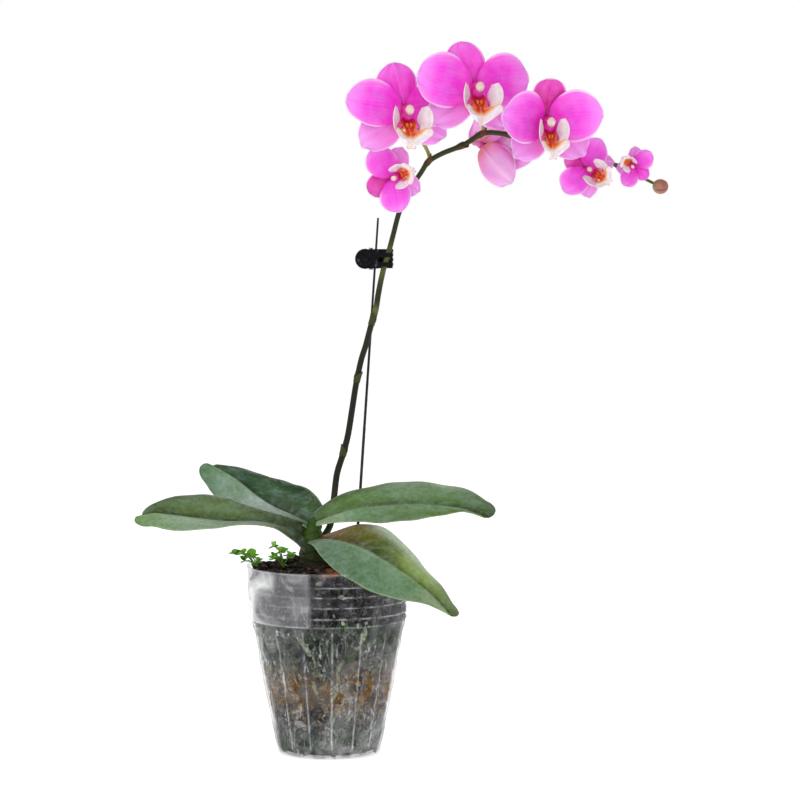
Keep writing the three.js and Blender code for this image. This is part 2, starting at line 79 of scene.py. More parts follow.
def make_stage():
    scene = bpy.context.scene
    camera = link_object("camera", bpy.data.cameras.new("camera"))
    back = Vector((0, -math.cos(ELEVATION), math.sin(ELEVATION)))
    camera.location = TARGET + back * DISTANCE
    camera.rotation_euler = (-back).to_track_quat("-Z", "Y").to_euler()
    camera.data.lens = LENS
    camera.data.sensor_width = SENSOR
    camera.data.clip_end = 30
    scene.camera = camera
    scene.view_settings.view_transform = "Standard"
    scene.view_settings.look = "None"

    mesh = bpy.data.meshes.new("floor")
    corners = [(x * FLOOR_REACH, y * FLOOR_REACH, 0) for x, y in ((-1, -1), (1, -1), (1, 1), (-1, 1))]
    mesh.from_pydata(corners, [], [(0, 1, 2, 3)])
    paper = Shader("floor_paper", roughness=0.9)
    paper.colour(paper.mix((0.8, 0.8, 0.805), (0.82, 0.82, 0.82), paper.noise(9, 3)))
    paper.surface.inputs["Emission Color"].default_value = (1, 1, 1, 1)
    paper.surface.inputs["Emission Strength"].default_value = FLOOR_GLOW
    mesh.materials.append(paper.material)
    link_object("floor", mesh)

    world = bpy.data.worlds.new("studio")
    scene.world = world
    world.use_nodes = True
    tree = world.node_tree
    height = tree.nodes.new("ShaderNodeSeparateXYZ")
    tree.links.new(tree.nodes.new("ShaderNodeTexCoord").outputs["Generated"], height.inputs[0])
    sky = tree.nodes.new("ShaderNodeValToRGB")
    for stop, at, rgba in zip(sky.color_ramp.elements, (0.22, 0.5), ((1, 1, 1, 1), (0.42, 0.42, 0.43, 1))):
        stop.position = at
        stop.color = rgba
    tree.links.new(height.outputs[2], sky.inputs[0])
    tree.links.new(sky.outputs[0], tree.nodes["Background"].inputs[0])

    for name, place, size, power in LAMPS:
        lamp = link_object(name, bpy.data.lights.new(name, "AREA"))
        lamp.data.size = size
        lamp.data.energy = power
        lamp.location = place
        lamp.rotation_euler = (LIT_SPOT - Vector(place)).to_track_quat("-Z", "Y").to_euler()


# ---- Shaders ----

SOCKETS = {
    "roughness": "Roughness", "metallic": "Metallic", "sheen": "Sheen Weight", "coat": "Coat Weight",
    "coat_roughness": "Coat Roughness", "subsurface": "Subsurface Weight", "specular": "Specular IOR Level",
    "subsurface_scale": "Subsurface Scale", "ior": "IOR",
}


class Value:
    """A number that nodes work out at each point of a surface. It takes +, -, * and |, the larger of two."""

    def __init__(self, shader, socket):
        self.shader, self.socket = shader, socket

    def __add__(self, other):
        return self.shader.math("ADD", self, other)

    def __sub__(self, other):
        return self.shader.math("SUBTRACT", self, other)

    def __rsub__(self, other):
        return self.shader.math("SUBTRACT", other, self)

    def __mul__(self, other):
        return self.shader.math("MULTIPLY", self, other)

    def __or__(self, other):
        return self.shader.math("MAXIMUM", self, other)


class Shader:
    """A material whose nodes are chained by short calls. Textures use the object's coordinates, in metres."""

    def __init__(self, name, **constants):
        self.material = bpy.data.materials.new(name)
        self.material.use_nodes = True
        MATERIALS[name] = self.material
        self.tree = self.material.node_tree
        self.surface = self.tree.nodes["Principled BSDF"]
        for key, value in constants.items():
            self.surface.inputs[SOCKETS[key]].default_value = value
        self.place = self.node("ShaderNodeTexCoord").outputs["Object"]

    def node(self, kind, **settings):
        made = self.tree.nodes.new(kind)
        for key, value in settings.items():
            setattr(made, key, value)
        return made

    def link(self, value, socket):
        """Joins a node's output to a socket, or writes a number or a colour into it."""
        if isinstance(value, Value):
            value = value.socket
        if isinstance(value, bpy.types.NodeSocket):
            self.tree.links.new(value, socket)
        else:
            socket.default_value = (*value, 1) if np.ndim(value) else value

    def math(self, operation, a, b=0.0, clamp=False):
        made = self.node("ShaderNodeMath", operation=operation, use_clamp=clamp)
        self.link(a, made.inputs[0])
        self.link(b, made.inputs[1])
        return Value(self, made.outputs[0])

    def mix(self, a, b, share, blend="MIX"):
        made = self.node("ShaderNodeMix", data_type="RGBA", blend_type=blend)
        self.link(share, made.inputs[0])
        self.link(a, made.inputs[6])
        self.link(b, made.inputs[7])
        return made.outputs[2]

    def noise(self, scale, detail=2.0, distortion=0.0, place=None):
        made = self.node("ShaderNodeTexNoise")
        self.link(place or self.place, made.inputs["Vector"])
        made.inputs["Scale"].default_value = scale
        made.inputs["Detail"].default_value = detail
        made.inputs["Distortion"].default_value = distortion
        return Value(self, made.outputs[0])

    def grain(self, scales, detail, distortion=0.0):
        """Noise with a scale for each axis."""
        made = self.node("ShaderNodeMapping")
        self.link(self.place, made.inputs["Vector"])
        made.inputs["Scale"].default_value = scales
        return self.noise(1, detail, distortion, made.outputs[0])

    def cells(self, scale):
        made = self.node("ShaderNodeTexVoronoi")
        self.link(self.place, made.inputs["Vector"])
        made.inputs["Scale"].default_value = scale
        return Value(self, made.outputs["Distance"])

    def band(self, value, low, high):
        """0 under low, 1 over high and a straight climb between."""
        made = self.node("ShaderNodeMapRange")
        self.link(value, made.inputs[0])
        made.inputs[1].default_value = low
        made.inputs[2].default_value = high
        return Value(self, made.outputs[0])

    def fall(self, value, low, high):
        """1 under low and 0 over high."""
        return 1 - self.band(value, low, high)

    def waves(self, value):
        """Back and forth between 0 and a half, once for each whole step of the value."""
        return self.math("PINGPONG", value, 0.5)

    def parts(self, vector):
        split = self.node("ShaderNodeSeparateXYZ")
        self.link(vector, split.inputs[0])
        return [Value(self, part) for part in split.outputs]

    def shape(self):
        """The two coordinates that a mesh carries for its shader."""
        return self.parts(self.node("ShaderNodeUVMap", uv_map="shape").outputs[0])[:2]

    def tint(self):
        return self.node("ShaderNodeAttribute", attribute_name="tint").outputs["Color"]

    def dulled(self, base, rgb, share):
        """A colour multiplied by another as far as share says."""
        return self.mix(base, rgb, share, "MULTIPLY")

    def colour(self, value):
        self.link(value, self.surface.inputs["Base Color"])

    def roughness(self, value):
        self.link(value, self.surface.inputs["Roughness"])

    def bump(self, height, distance):
        """distance is how far the surface moves for a height of 1, in millimetres."""
        made = self.node("ShaderNodeBump")
        made.inputs["Strength"].default_value = 1
        made.inputs["Distance"].default_value = distance * MM
        self.link(height, made.inputs["Height"])
        self.link(made.outputs[0], self.surface.inputs["Normal"])


def petal_shader():
    s = Shader("petal", roughness=0.45, subsurface=0.12, subsurface_scale=0.003, sheen=0.1, specular=0.35)
    along, across = s.shape()
    wander = s.noise(45, 4) * 1.6
    veins = s.fall(s.waves(across * 13 + wander), 0, 0.16)
    veins = veins | s.fall(s.waves(across * 37 + wander * 2.5), 0, 0.35) * 0.5
    fade = veins * (0.85 - along * 0.55) * s.fall(along, 0.82, 0.97)
    base = s.dulled(s.tint(), (0.92, 0.4, 0.84), fade)
    mottle = s.band(s.noise(120, 5), 0.35, 0.7)
    s.colour(s.mix(base, (0.96, 0.62, 0.95), mottle * 0.13))
    s.roughness(s.noise(240, 2) * 0.2 + 0.36)
    s.bump(veins * -0.8 + s.cells(2600) * 0.5, 0.2)


def lip_shader():
    s = Shader("lip", roughness=0.35, subsurface=0.12, subsurface_scale=0.002, specular=0.45)
    speckle, _ = s.shape()
    dots = s.fall(s.cells(800), 0.3, 0.55)
    streaks = s.band(s.noise(650, 3), 0.4, 0.56)
    base = s.mix(s.tint(), lin(206, 40, 14), s.math("MULTIPLY", dots | streaks, speckle, clamp=True))
    s.colour(s.dulled(base, (0.8, 0.72, 0.76), s.band(s.noise(300, 4), 0.4, 0.7) * 0.5))
    s.bump(s.noise(1200, 3) + dots, 0.16)


def leaf_shader():
    s = Shader("leaf", roughness=0.4, coat=0.05, coat_roughness=0.3, specular=0.25, subsurface=0.04,
               subsurface_scale=0.002)
    _, across = s.shape()
    wander = s.noise(22, 3) * 1.4
    veins = s.fall(s.waves(across * 15 + wander), 0, 0.4)
    blotch = s.band(s.noise(42, 6, 0.8), 0.35, 0.68)
    grey = s.band(s.grain((90, 210, 160), 4, 0.6), 0.46, 0.7)
    leather = s.band(s.noise(330, 5, 0.4), 0.36, 0.66)
    pores = s.fall(s.cells(800), 0.12, 0.36)
    wax = s.band(s.noise(150, 6, 1.2), 0.5, 0.72)
    base = s.dulled(s.tint(), (0.58, 0.68, 0.48), blotch * 0.75)
    base = s.dulled(base, (0.8, 0.88, 0.74), veins * 0.22)
    base = s.mix(base, (0.3, 0.44, 0.42), grey * 0.24)
    base = s.dulled(base, (0.5, 0.6, 0.42), leather * 0.6)
    base = s.mix(base, (0.5, 0.62, 0.42), pores * 0.08)
    s.colour(s.mix(base, (0.5, 0.6, 0.46), wax * 0.1))
    s.roughness(s.noise(60, 4) * 0.25 + 0.3)
    s.bump(veins * -0.3 + leather * 0.5 + pores * 0.3, 0.25)


def stem_shader():
    s = Shader("stem", roughness=0.5, specular=0.18, subsurface=0.03, subsurface_scale=0.002)
    streak = s.band(s.grain((700, 700, 60), 5), 0.35, 0.7)
    spots = s.band(s.noise(330, 4), 0.55, 0.72)
    base = s.dulled(s.tint(), (0.68, 0.66, 0.6), streak * 0.5)
    s.colour(s.dulled(base, (0.5, 0.36, 0.3), spots * 0.3))
    s.bump(streak + s.noise(900, 2), 0.16)


def root_shader():
    s = Shader("root", roughness=0.7)
    s.colour(s.mix(s.tint(), (0.62, 0.66, 0.6), s.band(s.noise(420, 5), 0.4, 0.65) * 0.5))
    s.bump(s.noise(700, 5) + s.cells(500), 0.4)


def bark_shader():
    s = Shader("bark", roughness=0.85, specular=0.25)
    grain = s.grain((160, 420, 900), 6, 0.8)
    base = s.dulled(s.tint(), (0.45, 0.42, 0.4), s.band(grain, 0.4, 0.62))
    s.colour(s.mix(base, (0.42, 0.4, 0.38), s.band(s.noise(260, 5), 0.58, 0.72) * 0.35))
    s.bump(grain + s.noise(1500, 4) * 0.5, 0.8)


def moss_shader():
    s = Shader("moss", roughness=0.9, sheen=0.2)
    tuft = s.noise(900, 5)
    s.colour(s.dulled(s.tint(), (0.5, 0.6, 0.4), s.band(tuft, 0.4, 0.7)))
    s.bump(tuft, 1.2)


def pot_shader():
    """Clear plastic under haze, pale marks and stains, with frosting, painted glare and ridges where its mesh
    says so. The ridges carry painted highlights, and the marks are partly real scuffs and partly painted
    glints.
    """
    s = Shader("clear_plastic", roughness=0.16, specular=0.4, ior=1.5)
    frost_and_glare, ridge = s.shape()
    height = s.parts(s.place)[2]
    body = s.fall(height, 0.098, 0.101)
    haze = s.band(s.noise(30, 6, 0.9), 0.42, 0.72)
    crease = s.fall(s.math("ABSOLUTE", s.noise(34, 5, 1.6) - 0.5), 0, 0.012)
    scratch = s.band(s.grain((420, 420, 26), 5, 0.9), 0.61, 0.7)
    fleck = s.band(s.grain((620, 620, 330), 5, 0.6), 0.59, 0.68) * (body * 0.6 + 0.25)
    patches = s.band(s.noise(60, 4), 0.34, 0.58)
    # Scratches, flecks and crinkle lines: partly real scuffs and partly painted glints.
    marks_and_glints = (scratch | fleck | crease) * patches * (body * 0.6 + 0.4)
    film = s.math("SUBTRACT", 1, ridge | marks_and_glints, clamp=True)
    stain = s.band(s.noise(75, 6, 0.7), 0.38, 0.6)
    brown = s.band(height, 0.03, 0.045) * s.fall(height, 0.06, 0.074) * stain * film
    green = (s.band(height, 0.064, 0.078) + s.fall(height, 0.014, 0.034)) * body * (1 - stain) * film
    # The film thickens where the wall is seen edge-on: denser haze along the view, and a painted stand-in for
    # the wall's edge reflection.
    slope = s.node("ShaderNodeLayerWeight")
    slope.inputs[0].default_value = 0.2
    slope = Value(s, slope.outputs["Facing"])
    # Painted highlights in broken streaks along the ribs, rings, seam and lip.
    broken_highlight = s.band(s.noise(140, 4), 0.42, 0.58) * 0.5 + 0.1
    cover = haze * 0.1 + slope * 0.3 + frost_and_glare * (haze * 0.36 + 0.23) + ridge * (broken_highlight * 0.62)
    cover = cover + (brown * 0.15 + green * 0.12)
    s.link(s.math("ADD", cover, marks_and_glints * 0.42, clamp=True), s.surface.inputs["Alpha"])
    base = s.mix(lin(178, 178, 184), lin(238, 239, 238), ridge | marks_and_glints | haze)
    s.colour(s.mix(s.mix(base, lin(140, 98, 4), brown), lin(34, 60, 8), green))
    s.roughness(haze * 0.2 + 0.1)
    s.bump(s.noise(150, 5) + crease * 0.5, 0.9)


def plastic_shader():
    s = Shader("black_plastic", roughness=0.2, specular=0.08, coat=0.02, coat_roughness=0.1)
    wear = s.band(s.noise(500, 5), 0.5, 0.75)
    gleam = s.band(s.noise(190, 2), 0.6, 0.72)
    s.colour(s.mix(s.mix(lin(9, 8, 13), lin(40, 38, 50), wear * 0.4), lin(112, 108, 122), gleam * 0.5))
    s.roughness(wear * 0.3 + 0.14)
    s.bump(s.noise(1400, 3), 0.06)


def wire_shader():
    s = Shader("coated_wire", roughness=0.4, specular=0.25)
    rub = s.band(s.grain((300, 300, 40), 5), 0.5, 0.75)
    s.colour(s.mix(lin(24, 26, 20), lin(84, 86, 76), rub * 0.6))
    s.bump(s.noise(900, 4), 0.08)


def steel_shader():
    s = Shader("steel", roughness=0.3, metallic=1.0)
    s.colour(s.mix(lin(190, 190, 196), lin(120, 116, 112), s.band(s.noise(900, 4), 0.5, 0.8)))
    s.bump(s.noise(2500, 2), 0.03)


def bud_shader():
    s = Shader("bud", roughness=0.5, subsurface=0.1, subsurface_scale=0.002)
    streak = s.band(s.grain((250, 500, 700), 5), 0.35, 0.7)
    s.colour(s.dulled(s.tint(), (0.62, 0.5, 0.5), streak * 0.6))
    s.bump(streak + s.noise(900, 3), 0.2)


# ---- Meshes ----


class Piece:
    """One Blender object, gathered from shapes. Each vertex carries a tint and two shader coordinates."""

    def __init__(self, *materials):
        self.materials = [MATERIALS[name] for name in materials]
        self.count = 0
        self.verts, self.faces, self.coords, self.tints, self.slots = [], [], [], [], []

    def add(self, shape, tint=(1, 1, 1), material=0, matrix=None):
        verts, faces, coords = shape
        if matrix is not None:
            turn = np.array(matrix)
            verts = verts @ turn[:3, :3].T + turn[:3, 3]
        self.verts.append(verts)
        self.faces += [tuple(i + self.count for i in face) for face in faces]
        self.slots += [material] * len(faces)
        self.coords.append(np.broadcast_to(coords, (len(verts), 2)))
        self.tints.append(np.broadcast_to(tint, (len(verts), 3)))
        self.count += len(verts)

    def add_sheet(self, grid, thickness, coords, tint, matrix=None):
        """Adds a closed sheet round a grid of points, with a tint at each point for both its sides."""
        flat = np.broadcast_to(tint, grid.shape).reshape(-1, 3)
        self.add(slab(grid, thickness, coords), np.vstack([flat, flat]), matrix=matrix)

    def make(self, name, slot, node, body="plant", smooth=True):
        mesh = bpy.data.meshes.new(name)
        mesh.from_pydata(np.vstack(self.verts) * MM, [], self.faces)
        mesh.polygons.foreach_set("material_index", self.slots)
        mesh.polygons.foreach_set("use_smooth", [smooth] * len(mesh.polygons))
        for material in self.materials:
            mesh.materials.append(material)
        loops = np.zeros(len(mesh.loops), dtype=np.int32)
        mesh.loops.foreach_get("vertex_index", loops)
        layer = mesh.uv_layers.new(name="shape")
        layer.data.foreach_set("uv", np.vstack(self.coords)[loops].astype(np.float32).ravel())
        tint = mesh.color_attributes.new("tint", "FLOAT_COLOR", "POINT")
        rgba = np.ones((self.count, 4), np.float32)
        rgba[:, :3] = np.vstack(self.tints)
        tint.data.foreach_set("color", rgba.ravel())
        mesh.update()
        stand_in(name, mesh, node, body)


def stand_in(name, mesh, node, body="plant"):
    """Puts a mesh in the scene in place of a CAD node, riding on one of the part's bodies."""
    made = link_object(name, mesh)
    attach(made, body)
    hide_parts(node)


def finished(draft, material):
    """The mesh that an object's modifiers or curves give, in one material. The object itself goes."""
    mesh = bpy.data.meshes.new_from_object(draft.evaluated_get(bpy.context.evaluated_depsgraph_get()))
    bpy.data.objects.remove(draft)
    mesh.materials.clear()
    mesh.materials.append(MATERIALS[material])
    return mesh


def unit(vectors):
    return vectors / np.maximum(np.linalg.norm(vectors, axis=-1, keepdims=True), 1e-9)


def slopes(spots):
    """The direction of a line of points at each of them."""
    return unit(np.gradient(spots, axis=0))


def catmull(a, b, c, d, t):
    """A smooth curve from b to c, which a comes before and d comes after."""
    return 0.5 * (2 * b + (c - a) * t + (2 * a - 5 * b + 4 * c - d) * t**2 + (3 * b - a - 3 * c + d) * t**3)


def extended(values):
    """A list with one more value at each end, in line with the two before it."""
    p = np.array(values, float)
    return np.concatenate([[2 * p[0] - p[1]], p, [2 * p[-1] - p[-2]]])


def path(points, count):
    """Evenly spaced points on a smooth curve through the given ones."""
    p = extended(points)
    t = np.linspace(0, 1, 24, endpoint=False)[:, None]
    fine = np.vstack([*(catmull(*p[i : i + 4], t) for i in range(len(points) - 1)), p[-2:-1]])
    run = np.concatenate([[0], np.cumsum(np.linalg.norm(np.diff(fine, axis=0), axis=1))])
    even = np.linspace(0, run[-1], count)
    return np.stack([np.interp(even, run, fine[:, k]) for k in range(3)], 1)


def bezier(points, count):
    a, b, c, d = np.array(points, float)
    t = np.linspace(0, 1, count)[:, None]
    return a * (1 - t) ** 3 + 3 * b * t * (1 - t) ** 2 + 3 * c * t * t * (1 - t) + d * t**3


def full_turn(count):
    """Even angles once round."""
    return np.linspace(0, 2 * np.pi, count, endpoint=False)


def round_z(radius, z, turn):
    """Points round the Z axis."""
    return np.stack(np.broadcast_arrays(radius * np.cos(turn), radius * np.sin(turn), z), -1)


def ring_faces(rows, columns):
    """Quads of a grid whose columns close on themselves, facing out if rows climb and columns turn left."""
    faces = []
    for i in range(rows - 1):
        for j in range(columns):
            k = (j + 1) % columns
            faces.append((i * columns + j, i * columns + k, (i + 1) * columns + k, (i + 1) * columns + j))
    return faces


def closed_faces(rows, sides):
    """The same with both ends closed, by a point under the first row and then a point over the last."""
    faces = ring_faces(rows, sides)
    low, high, last = rows * sides, rows * sides + 1, (rows - 1) * sides
    for j in range(sides):
        k = (j + 1) % sides
        faces += [(low, k, j), (high, last + j, last + k)]
    return faces


def tube(spots, radius, sides):
    """A round bar with closed ends. radius is one number, one for each row, or a grid of rows by sides."""
    rows, directions = len(spots), slopes(spots)
    side = np.cross(directions[0], [0.0, 0.9, 0.43])
    turn = full_turn(sides)
    radius = np.broadcast_to(radius if np.ndim(radius) == 2 else np.reshape(radius, (-1, 1)), (rows, sides))
    verts = []
    for spot, direction, reach in zip(spots, directions, radius):
        side = unit(side - direction * np.dot(side, direction))
        ring = np.cos(turn)[:, None] * side + np.sin(turn)[:, None] * np.cross(direction, side)
        verts.append(spot + ring * reach[:, None])
    verts.append(spots[:1] - directions[:1] * radius[0].mean() * 0.3)
    verts.append(spots[-1:] + directions[-1:] * radius[-1].mean() * 0.5)
    share = np.repeat(np.linspace(0, 1, rows), sides)
    coords = np.vstack([np.stack([share, np.tile(turn / (2 * np.pi), rows)], 1), [[0, 0], [1, 0]]])
    return np.vstack(verts), closed_faces(rows, sides), coords


def ringed(tints, sides):
    """Tints for a tube's vertices, from one for each of its rows."""
    return np.vstack([np.repeat(tints, sides, axis=0), tints[:1], tints[-1:]])


def slab(points, thickness, coords):
    """A closed sheet round a grid of points."""
    rows, columns = points.shape[:2]
    normal = unit(np.cross(np.gradient(points, axis=0), np.gradient(points, axis=1)))
    offset = normal * np.broadcast_to(thickness, (rows, columns))[..., None] / 2
    verts = np.vstack([(points + offset).reshape(-1, 3), (points - offset).reshape(-1, 3)])
    index = np.arange(rows * columns).reshape(rows, columns)
    top = np.stack([index[:-1, :-1], index[1:, :-1], index[1:, 1:], index[:-1, 1:]], -1).reshape(-1, 4)
    under = top[:, ::-1] + rows * columns
    rim = np.concatenate([index[:-1, 0], index[-1, :-1], index[:0:-1, -1], index[0, :0:-1]])
    after = np.roll(rim, -1)
    side = np.stack([rim + rows * columns, after + rows * columns, after, rim], -1)
    faces = [tuple(map(int, face)) for face in np.vstack([top, under, side])]
    flat = np.stack([np.broadcast_to(c, (rows, columns)) for c in coords], -1).reshape(-1, 2)
    return verts, faces, np.vstack([flat, flat])


def blend(values, t):
    """Evenly spaced numbers or colours joined by straight lines and read at t, 0 to 1."""
    values = np.array(values, float)
    places = np.linspace(0, 1, len(values))
    if values.ndim == 1:
        return np.interp(t, places, values)
    return np.stack([np.interp(t, places, column) for column in values.T], -1)


def eased(values, t):
    """Evenly spaced numbers joined by a smooth curve and read at t, 0 to 1."""
    p = extended(values)
    at = np.clip(t, 0, 1) * (len(values) - 1)
    i = np.minimum(at.astype(int), len(values) - 2)
    return catmull(p[i], p[i + 1], p[i + 2], p[i + 3], at - i)


def smooth(x, low, high):
    """0 under low, 1 over high and a soft climb between."""
    t = np.clip((x - low) / (high - low), 0, 1)
    return t * t * (3 - 2 * t)


def bell(x, middle, reach):
    """1 at the middle, falling on both sides."""
    return np.exp(-(((x - middle) / reach) ** 2))


def mixed(a, b, share):
    """One tint turned into another as far as share says."""
    share = np.asarray(share)[..., None]
    return a * (1 - share) + b * share


def ball(centre, radii, rows, sides, bumps=0.0):
    """A rounded lump. bumps is how rough it is, as a share of its radii."""
    lat = np.linspace(-np.pi / 2, np.pi / 2, rows)[1:-1, None]
    grid = round_z(np.cos(lat), np.sin(lat), full_turn(sides)).reshape(-1, 3)
    if bumps:
        grid = grid * (1 + bumps * rng.normal(size=(len(grid), 1)))
    verts = np.vstack([grid, [[0, 0, -1], [0, 0, 1]]]) * radii + centre
    return verts, closed_faces(rows - 2, sides), (0, 0)


def turned(profile, segments):
    """A solid of revolution about +Z. The profile runs from the axis outwards, up and back to the axis."""
    (_, foot), *inner, (_, top) = profile
    inner = np.array(inner, float)
    grid = round_z(inner[:, :1], inner[:, 1:], full_turn(segments))
    verts = np.vstack([grid.reshape(-1, 3), [[0, 0, foot], [0, 0, top]]])
    return verts, closed_faces(len(inner), segments), (0, 0)


def spun(matrix, *turns):
    """A matrix followed by turns, each an axis and an angle."""
    for axis, angle in turns:
        matrix = matrix @ Matrix.Rotation(angle, len(matrix), axis)
    return matrix


def span(rows, columns):
    """How far along a sheet each of its rows is, 0 to 1, and how far across it each column is, -1 to 1."""
    return np.linspace(0, 1, rows)[:, None], np.linspace(-1, 1, columns)[None, :]


# ---- Pot ----

POT_PROFILE = [(38.5, 3), (56.6, 98.5), (58.2, 100), (58.8, 103), (60.4, 137), (61, 139.5)]  # radius, height
WALL = 0.9
RIBS = [4 + 22.5 * i for i in range(16)]  # degrees from the front, like the seam
COLLAR_RIBS = [129.8, 122.7, 115, 106.8]
SEAM = -11.5
FOLDS = 26  # shallow waves that run round the wall
DRAIN_RING, DRAIN_RADIUS = 25, 3.5


def wall_radius(z):
    r, height = zip(*POT_PROFILE)
    return np.interp(z, height, r)


def wall_ridge(z, front, r):
    """How much of a ridge the wall has at each bearing: ribs below, and rings, a seam and a lip above."""
    ridge = 0 * front
    if z < 98:
        for rib in RIBS:
            away = np.radians((front - rib + 180) % 360 - 180) * r
            ridge = np.maximum(ridge, np.exp(-((away / (1.1 if z > 92 else 0.6)) ** 4)))
        ridge = ridge * smooth(z, 5, 8) * (1 - smooth(z, 96, 98))
    if z > 99:
        reach = smooth(front, SEAM + 1, SEAM + 3) * (1 - smooth(front, 96, 104))
        reach = np.maximum(reach, smooth(np.abs(front), 120, 128))
        ridge = max(bell(z, height, 0.62) for height in COLLAR_RIBS) * np.maximum(reach, 0.3)
        for line in (SEAM, SEAM - 2.4):
            ridge = np.maximum(ridge, 0.7 * bell(np.radians(front - line) * r, 0, 0.45))
        ridge = np.maximum(ridge, 0.8 * bell(z, 100.6, 0.5))
        ridge = np.maximum(ridge, 0.6 * smooth(z, 138, 139.5))
    return ridge


def wall_frost_and_glare(z, front):
    """How frosted the wall is at each bearing: on the collar left of the seam, and at the foot. Near the
    sides, where the wall turns edge-on to the front, it also carries painted glare.
    """
    side = np.abs(front)
    collar = smooth(z, 99, 101) * (1 - smooth(front, SEAM - 3, SEAM + 1)) * (1 - smooth(side, 84, 118))
    # Painted glare: the collar grows whiter towards the left side.
    collar = collar * (1 + 0.5 * smooth(-front, 40, 75))
    # Painted glare on both flanks, stronger on the right.
    side_glare = (0.3 + 0.25 * (front > 0)) * smooth(side, 50, 80) * (1 - smooth(z, 96, 99)) * (side < 100)
    return np.maximum(collar, 0.4 * (1 - smooth(z, 4, 34)) + side_glare)


def make_pot():
    segments = 400
    turn = full_turn(segments)
    front = (np.degrees(turn) + 90 + 180) % 360 - 180
    foot = [(38.5 - 3 * (1 - math.sin(a)), 3 * (1 - math.cos(a))) for a in np.radians([0, 18, 36, 54, 72])]
    heights = [np.linspace(3, 98.5, 56), np.linspace(98.5, 104, 12), np.linspace(104, 139.5, 74)]
    rows = [(r, z, False) for r, z in foot]
    rows += [(wall_radius(z), z, True) for z in np.unique(np.concatenate(heights))]
    rows += [(60.6, 140.1, False), (60.0, 139.9, False)]
    rows += [(wall_radius(z) - WALL, z, False) for z in np.linspace(139, 2.4, 40)]
    rows += [(36.6, 1.6, False), (33.6, 1.6, False), (33.6, 0, False)]
    folds = [(random.randint(3, 30), random.uniform(0.05, 0.5), random.uniform(0, 6),
              random.uniform(0.04, 0.12)) for _ in range(FOLDS)]
    verts, coords = [], []
    for r, z, outer in rows:
        radius, frost_and_glare, ridge = r + 0 * turn, 0 * turn, 0 * turn
        if outer:
            frost_and_glare, ridge = wall_frost_and_glare(z, front), wall_ridge(z, front, r)
            crumple = sum(size * np.sin(n * turn + pace * z + phase) for n, pace, phase, size in folds)
            radius += (0.7 if z < 98 else 0.5) * ridge
            radius += np.clip(crumple, -0.55, 0.7) * smooth(z, 4, 20) * (1 - smooth(z, 136, 139))
        verts.append(round_z(radius, z, turn))
        coords.append(np.stack([frost_and_glare, ridge], -1))
    faces = ring_faces(len(rows), segments)
    last = (len(rows) - 1) * segments
    faces += [(last + j, last + (j + 1) % segments, (j + 1) % segments, j) for j in range(segments)]
    pot = Piece("clear_plastic")
    pot.add((np.vstack(verts), faces, np.vstack(coords)))
    pot.make("pot_wall", "clear_plastic", "pot")


def make_pot_floor():
    """A disc with six round drain holes."""
    curve = bpy.data.curves.new("pot_floor", "CURVE")
    curve.dimensions = "2D"
    curve.fill_mode = "BOTH"
    curve.extrude = 0.7 * MM
    curve.bevel_depth = 0.1 * MM
    rings = [(0, 0, 33.5, 72)]
    for a in np.radians(range(0, 360, 60)):
        rings.append((DRAIN_RING * math.cos(a), DRAIN_RING * math.sin(a), DRAIN_RADIUS, 24))
    for x, y, r, count in rings:
        spline = curve.splines.new("POLY")
        spline.points.add(count - 1)
        for point, a in zip(spline.points, full_turn(count)):
            point.co = ((x + r * math.cos(a)) * MM, (y + r * math.sin(a)) * MM, 0, 1)
        spline.use_cyclic_u = True
    mesh = finished(link_object("draft", curve), "clear_plastic")
    mesh.transform(Matrix.Translation((0, 0, 0.8 * MM)))
    if not mesh.uv_layers:
        mesh.uv_layers.new(name="shape")
    stand_in("pot_floor", mesh, "pot")


# ---- Bark, moss, stem and roots ----

POT_HEIGHT, BARK_TOP = 140, 139.4
WALL_CHIPS, TOP_CHIPS, TUFTS = 3000, 420, 600
MIX = shades((84, 96, 78), (92, 88, 88), (112, 94, 62), (112, 90, 40), (44, 62, 26), (36, 54, 24),
             (60, 60, 66), (58, 58, 66), (46, 44, 50))  # from the pot's foot to its rim
CROWN = [[-9, 1, 104], [-10, 0, 126], [-11.5, 0, 147.5], [-11.5, 0, 163], [-11, 0, 173]]
LEAF_SCARS = [136, 143, 150, 157, 164, 170]
ROOTS = [  # bearing in degrees, top, foot, degrees swept on the way down
    (-115, 118, 14, 35), (-60, 122, 40, -30), (-165, 114, 62, 25), (-10, 120, 24, 25), (105, 116, 34, -45),
]


def bark_tint(x, z):
    """The mix is grey at the foot, then brown and ochre, mossy below the collar and dark at the top."""
    tone = blend(MIX, z / POT_HEIGHT) * random.choice([0.05, 0.15, 0.4, 0.9, 1.8])
    ochre = 0.85 * min(1, bell(x, 24, 14) * bell(z, 58, 14) + bell(x, -32, 13) * bell(z, 50, 11))
    tone = tone * (1 - ochre) + lin(176, 128, 50) * ochre * random.choice([0.12, 0.35, 0.7, 1.1])
    if random.random() < 0.05:
        tone = lin(176, 172, 164) * random.uniform(0.5, 1.0)
    return tone


def chip(centre, size, spin):
    """One irregular flake of bark."""
    verts, faces, coords = ball((0, 0, 0), size, 6, 7, 0.16)
    most = np.array(size) * 0.8
    return np.clip(verts, -most, most) @ np.array(spin).T + centre, faces, coords


def chip_size(scales, *spans):
    """A chip's length, width and depth, each within its span, at one of some scales."""
    scale = random.choice(scales)
    return [random.uniform(*ends) * scale for ends in spans]


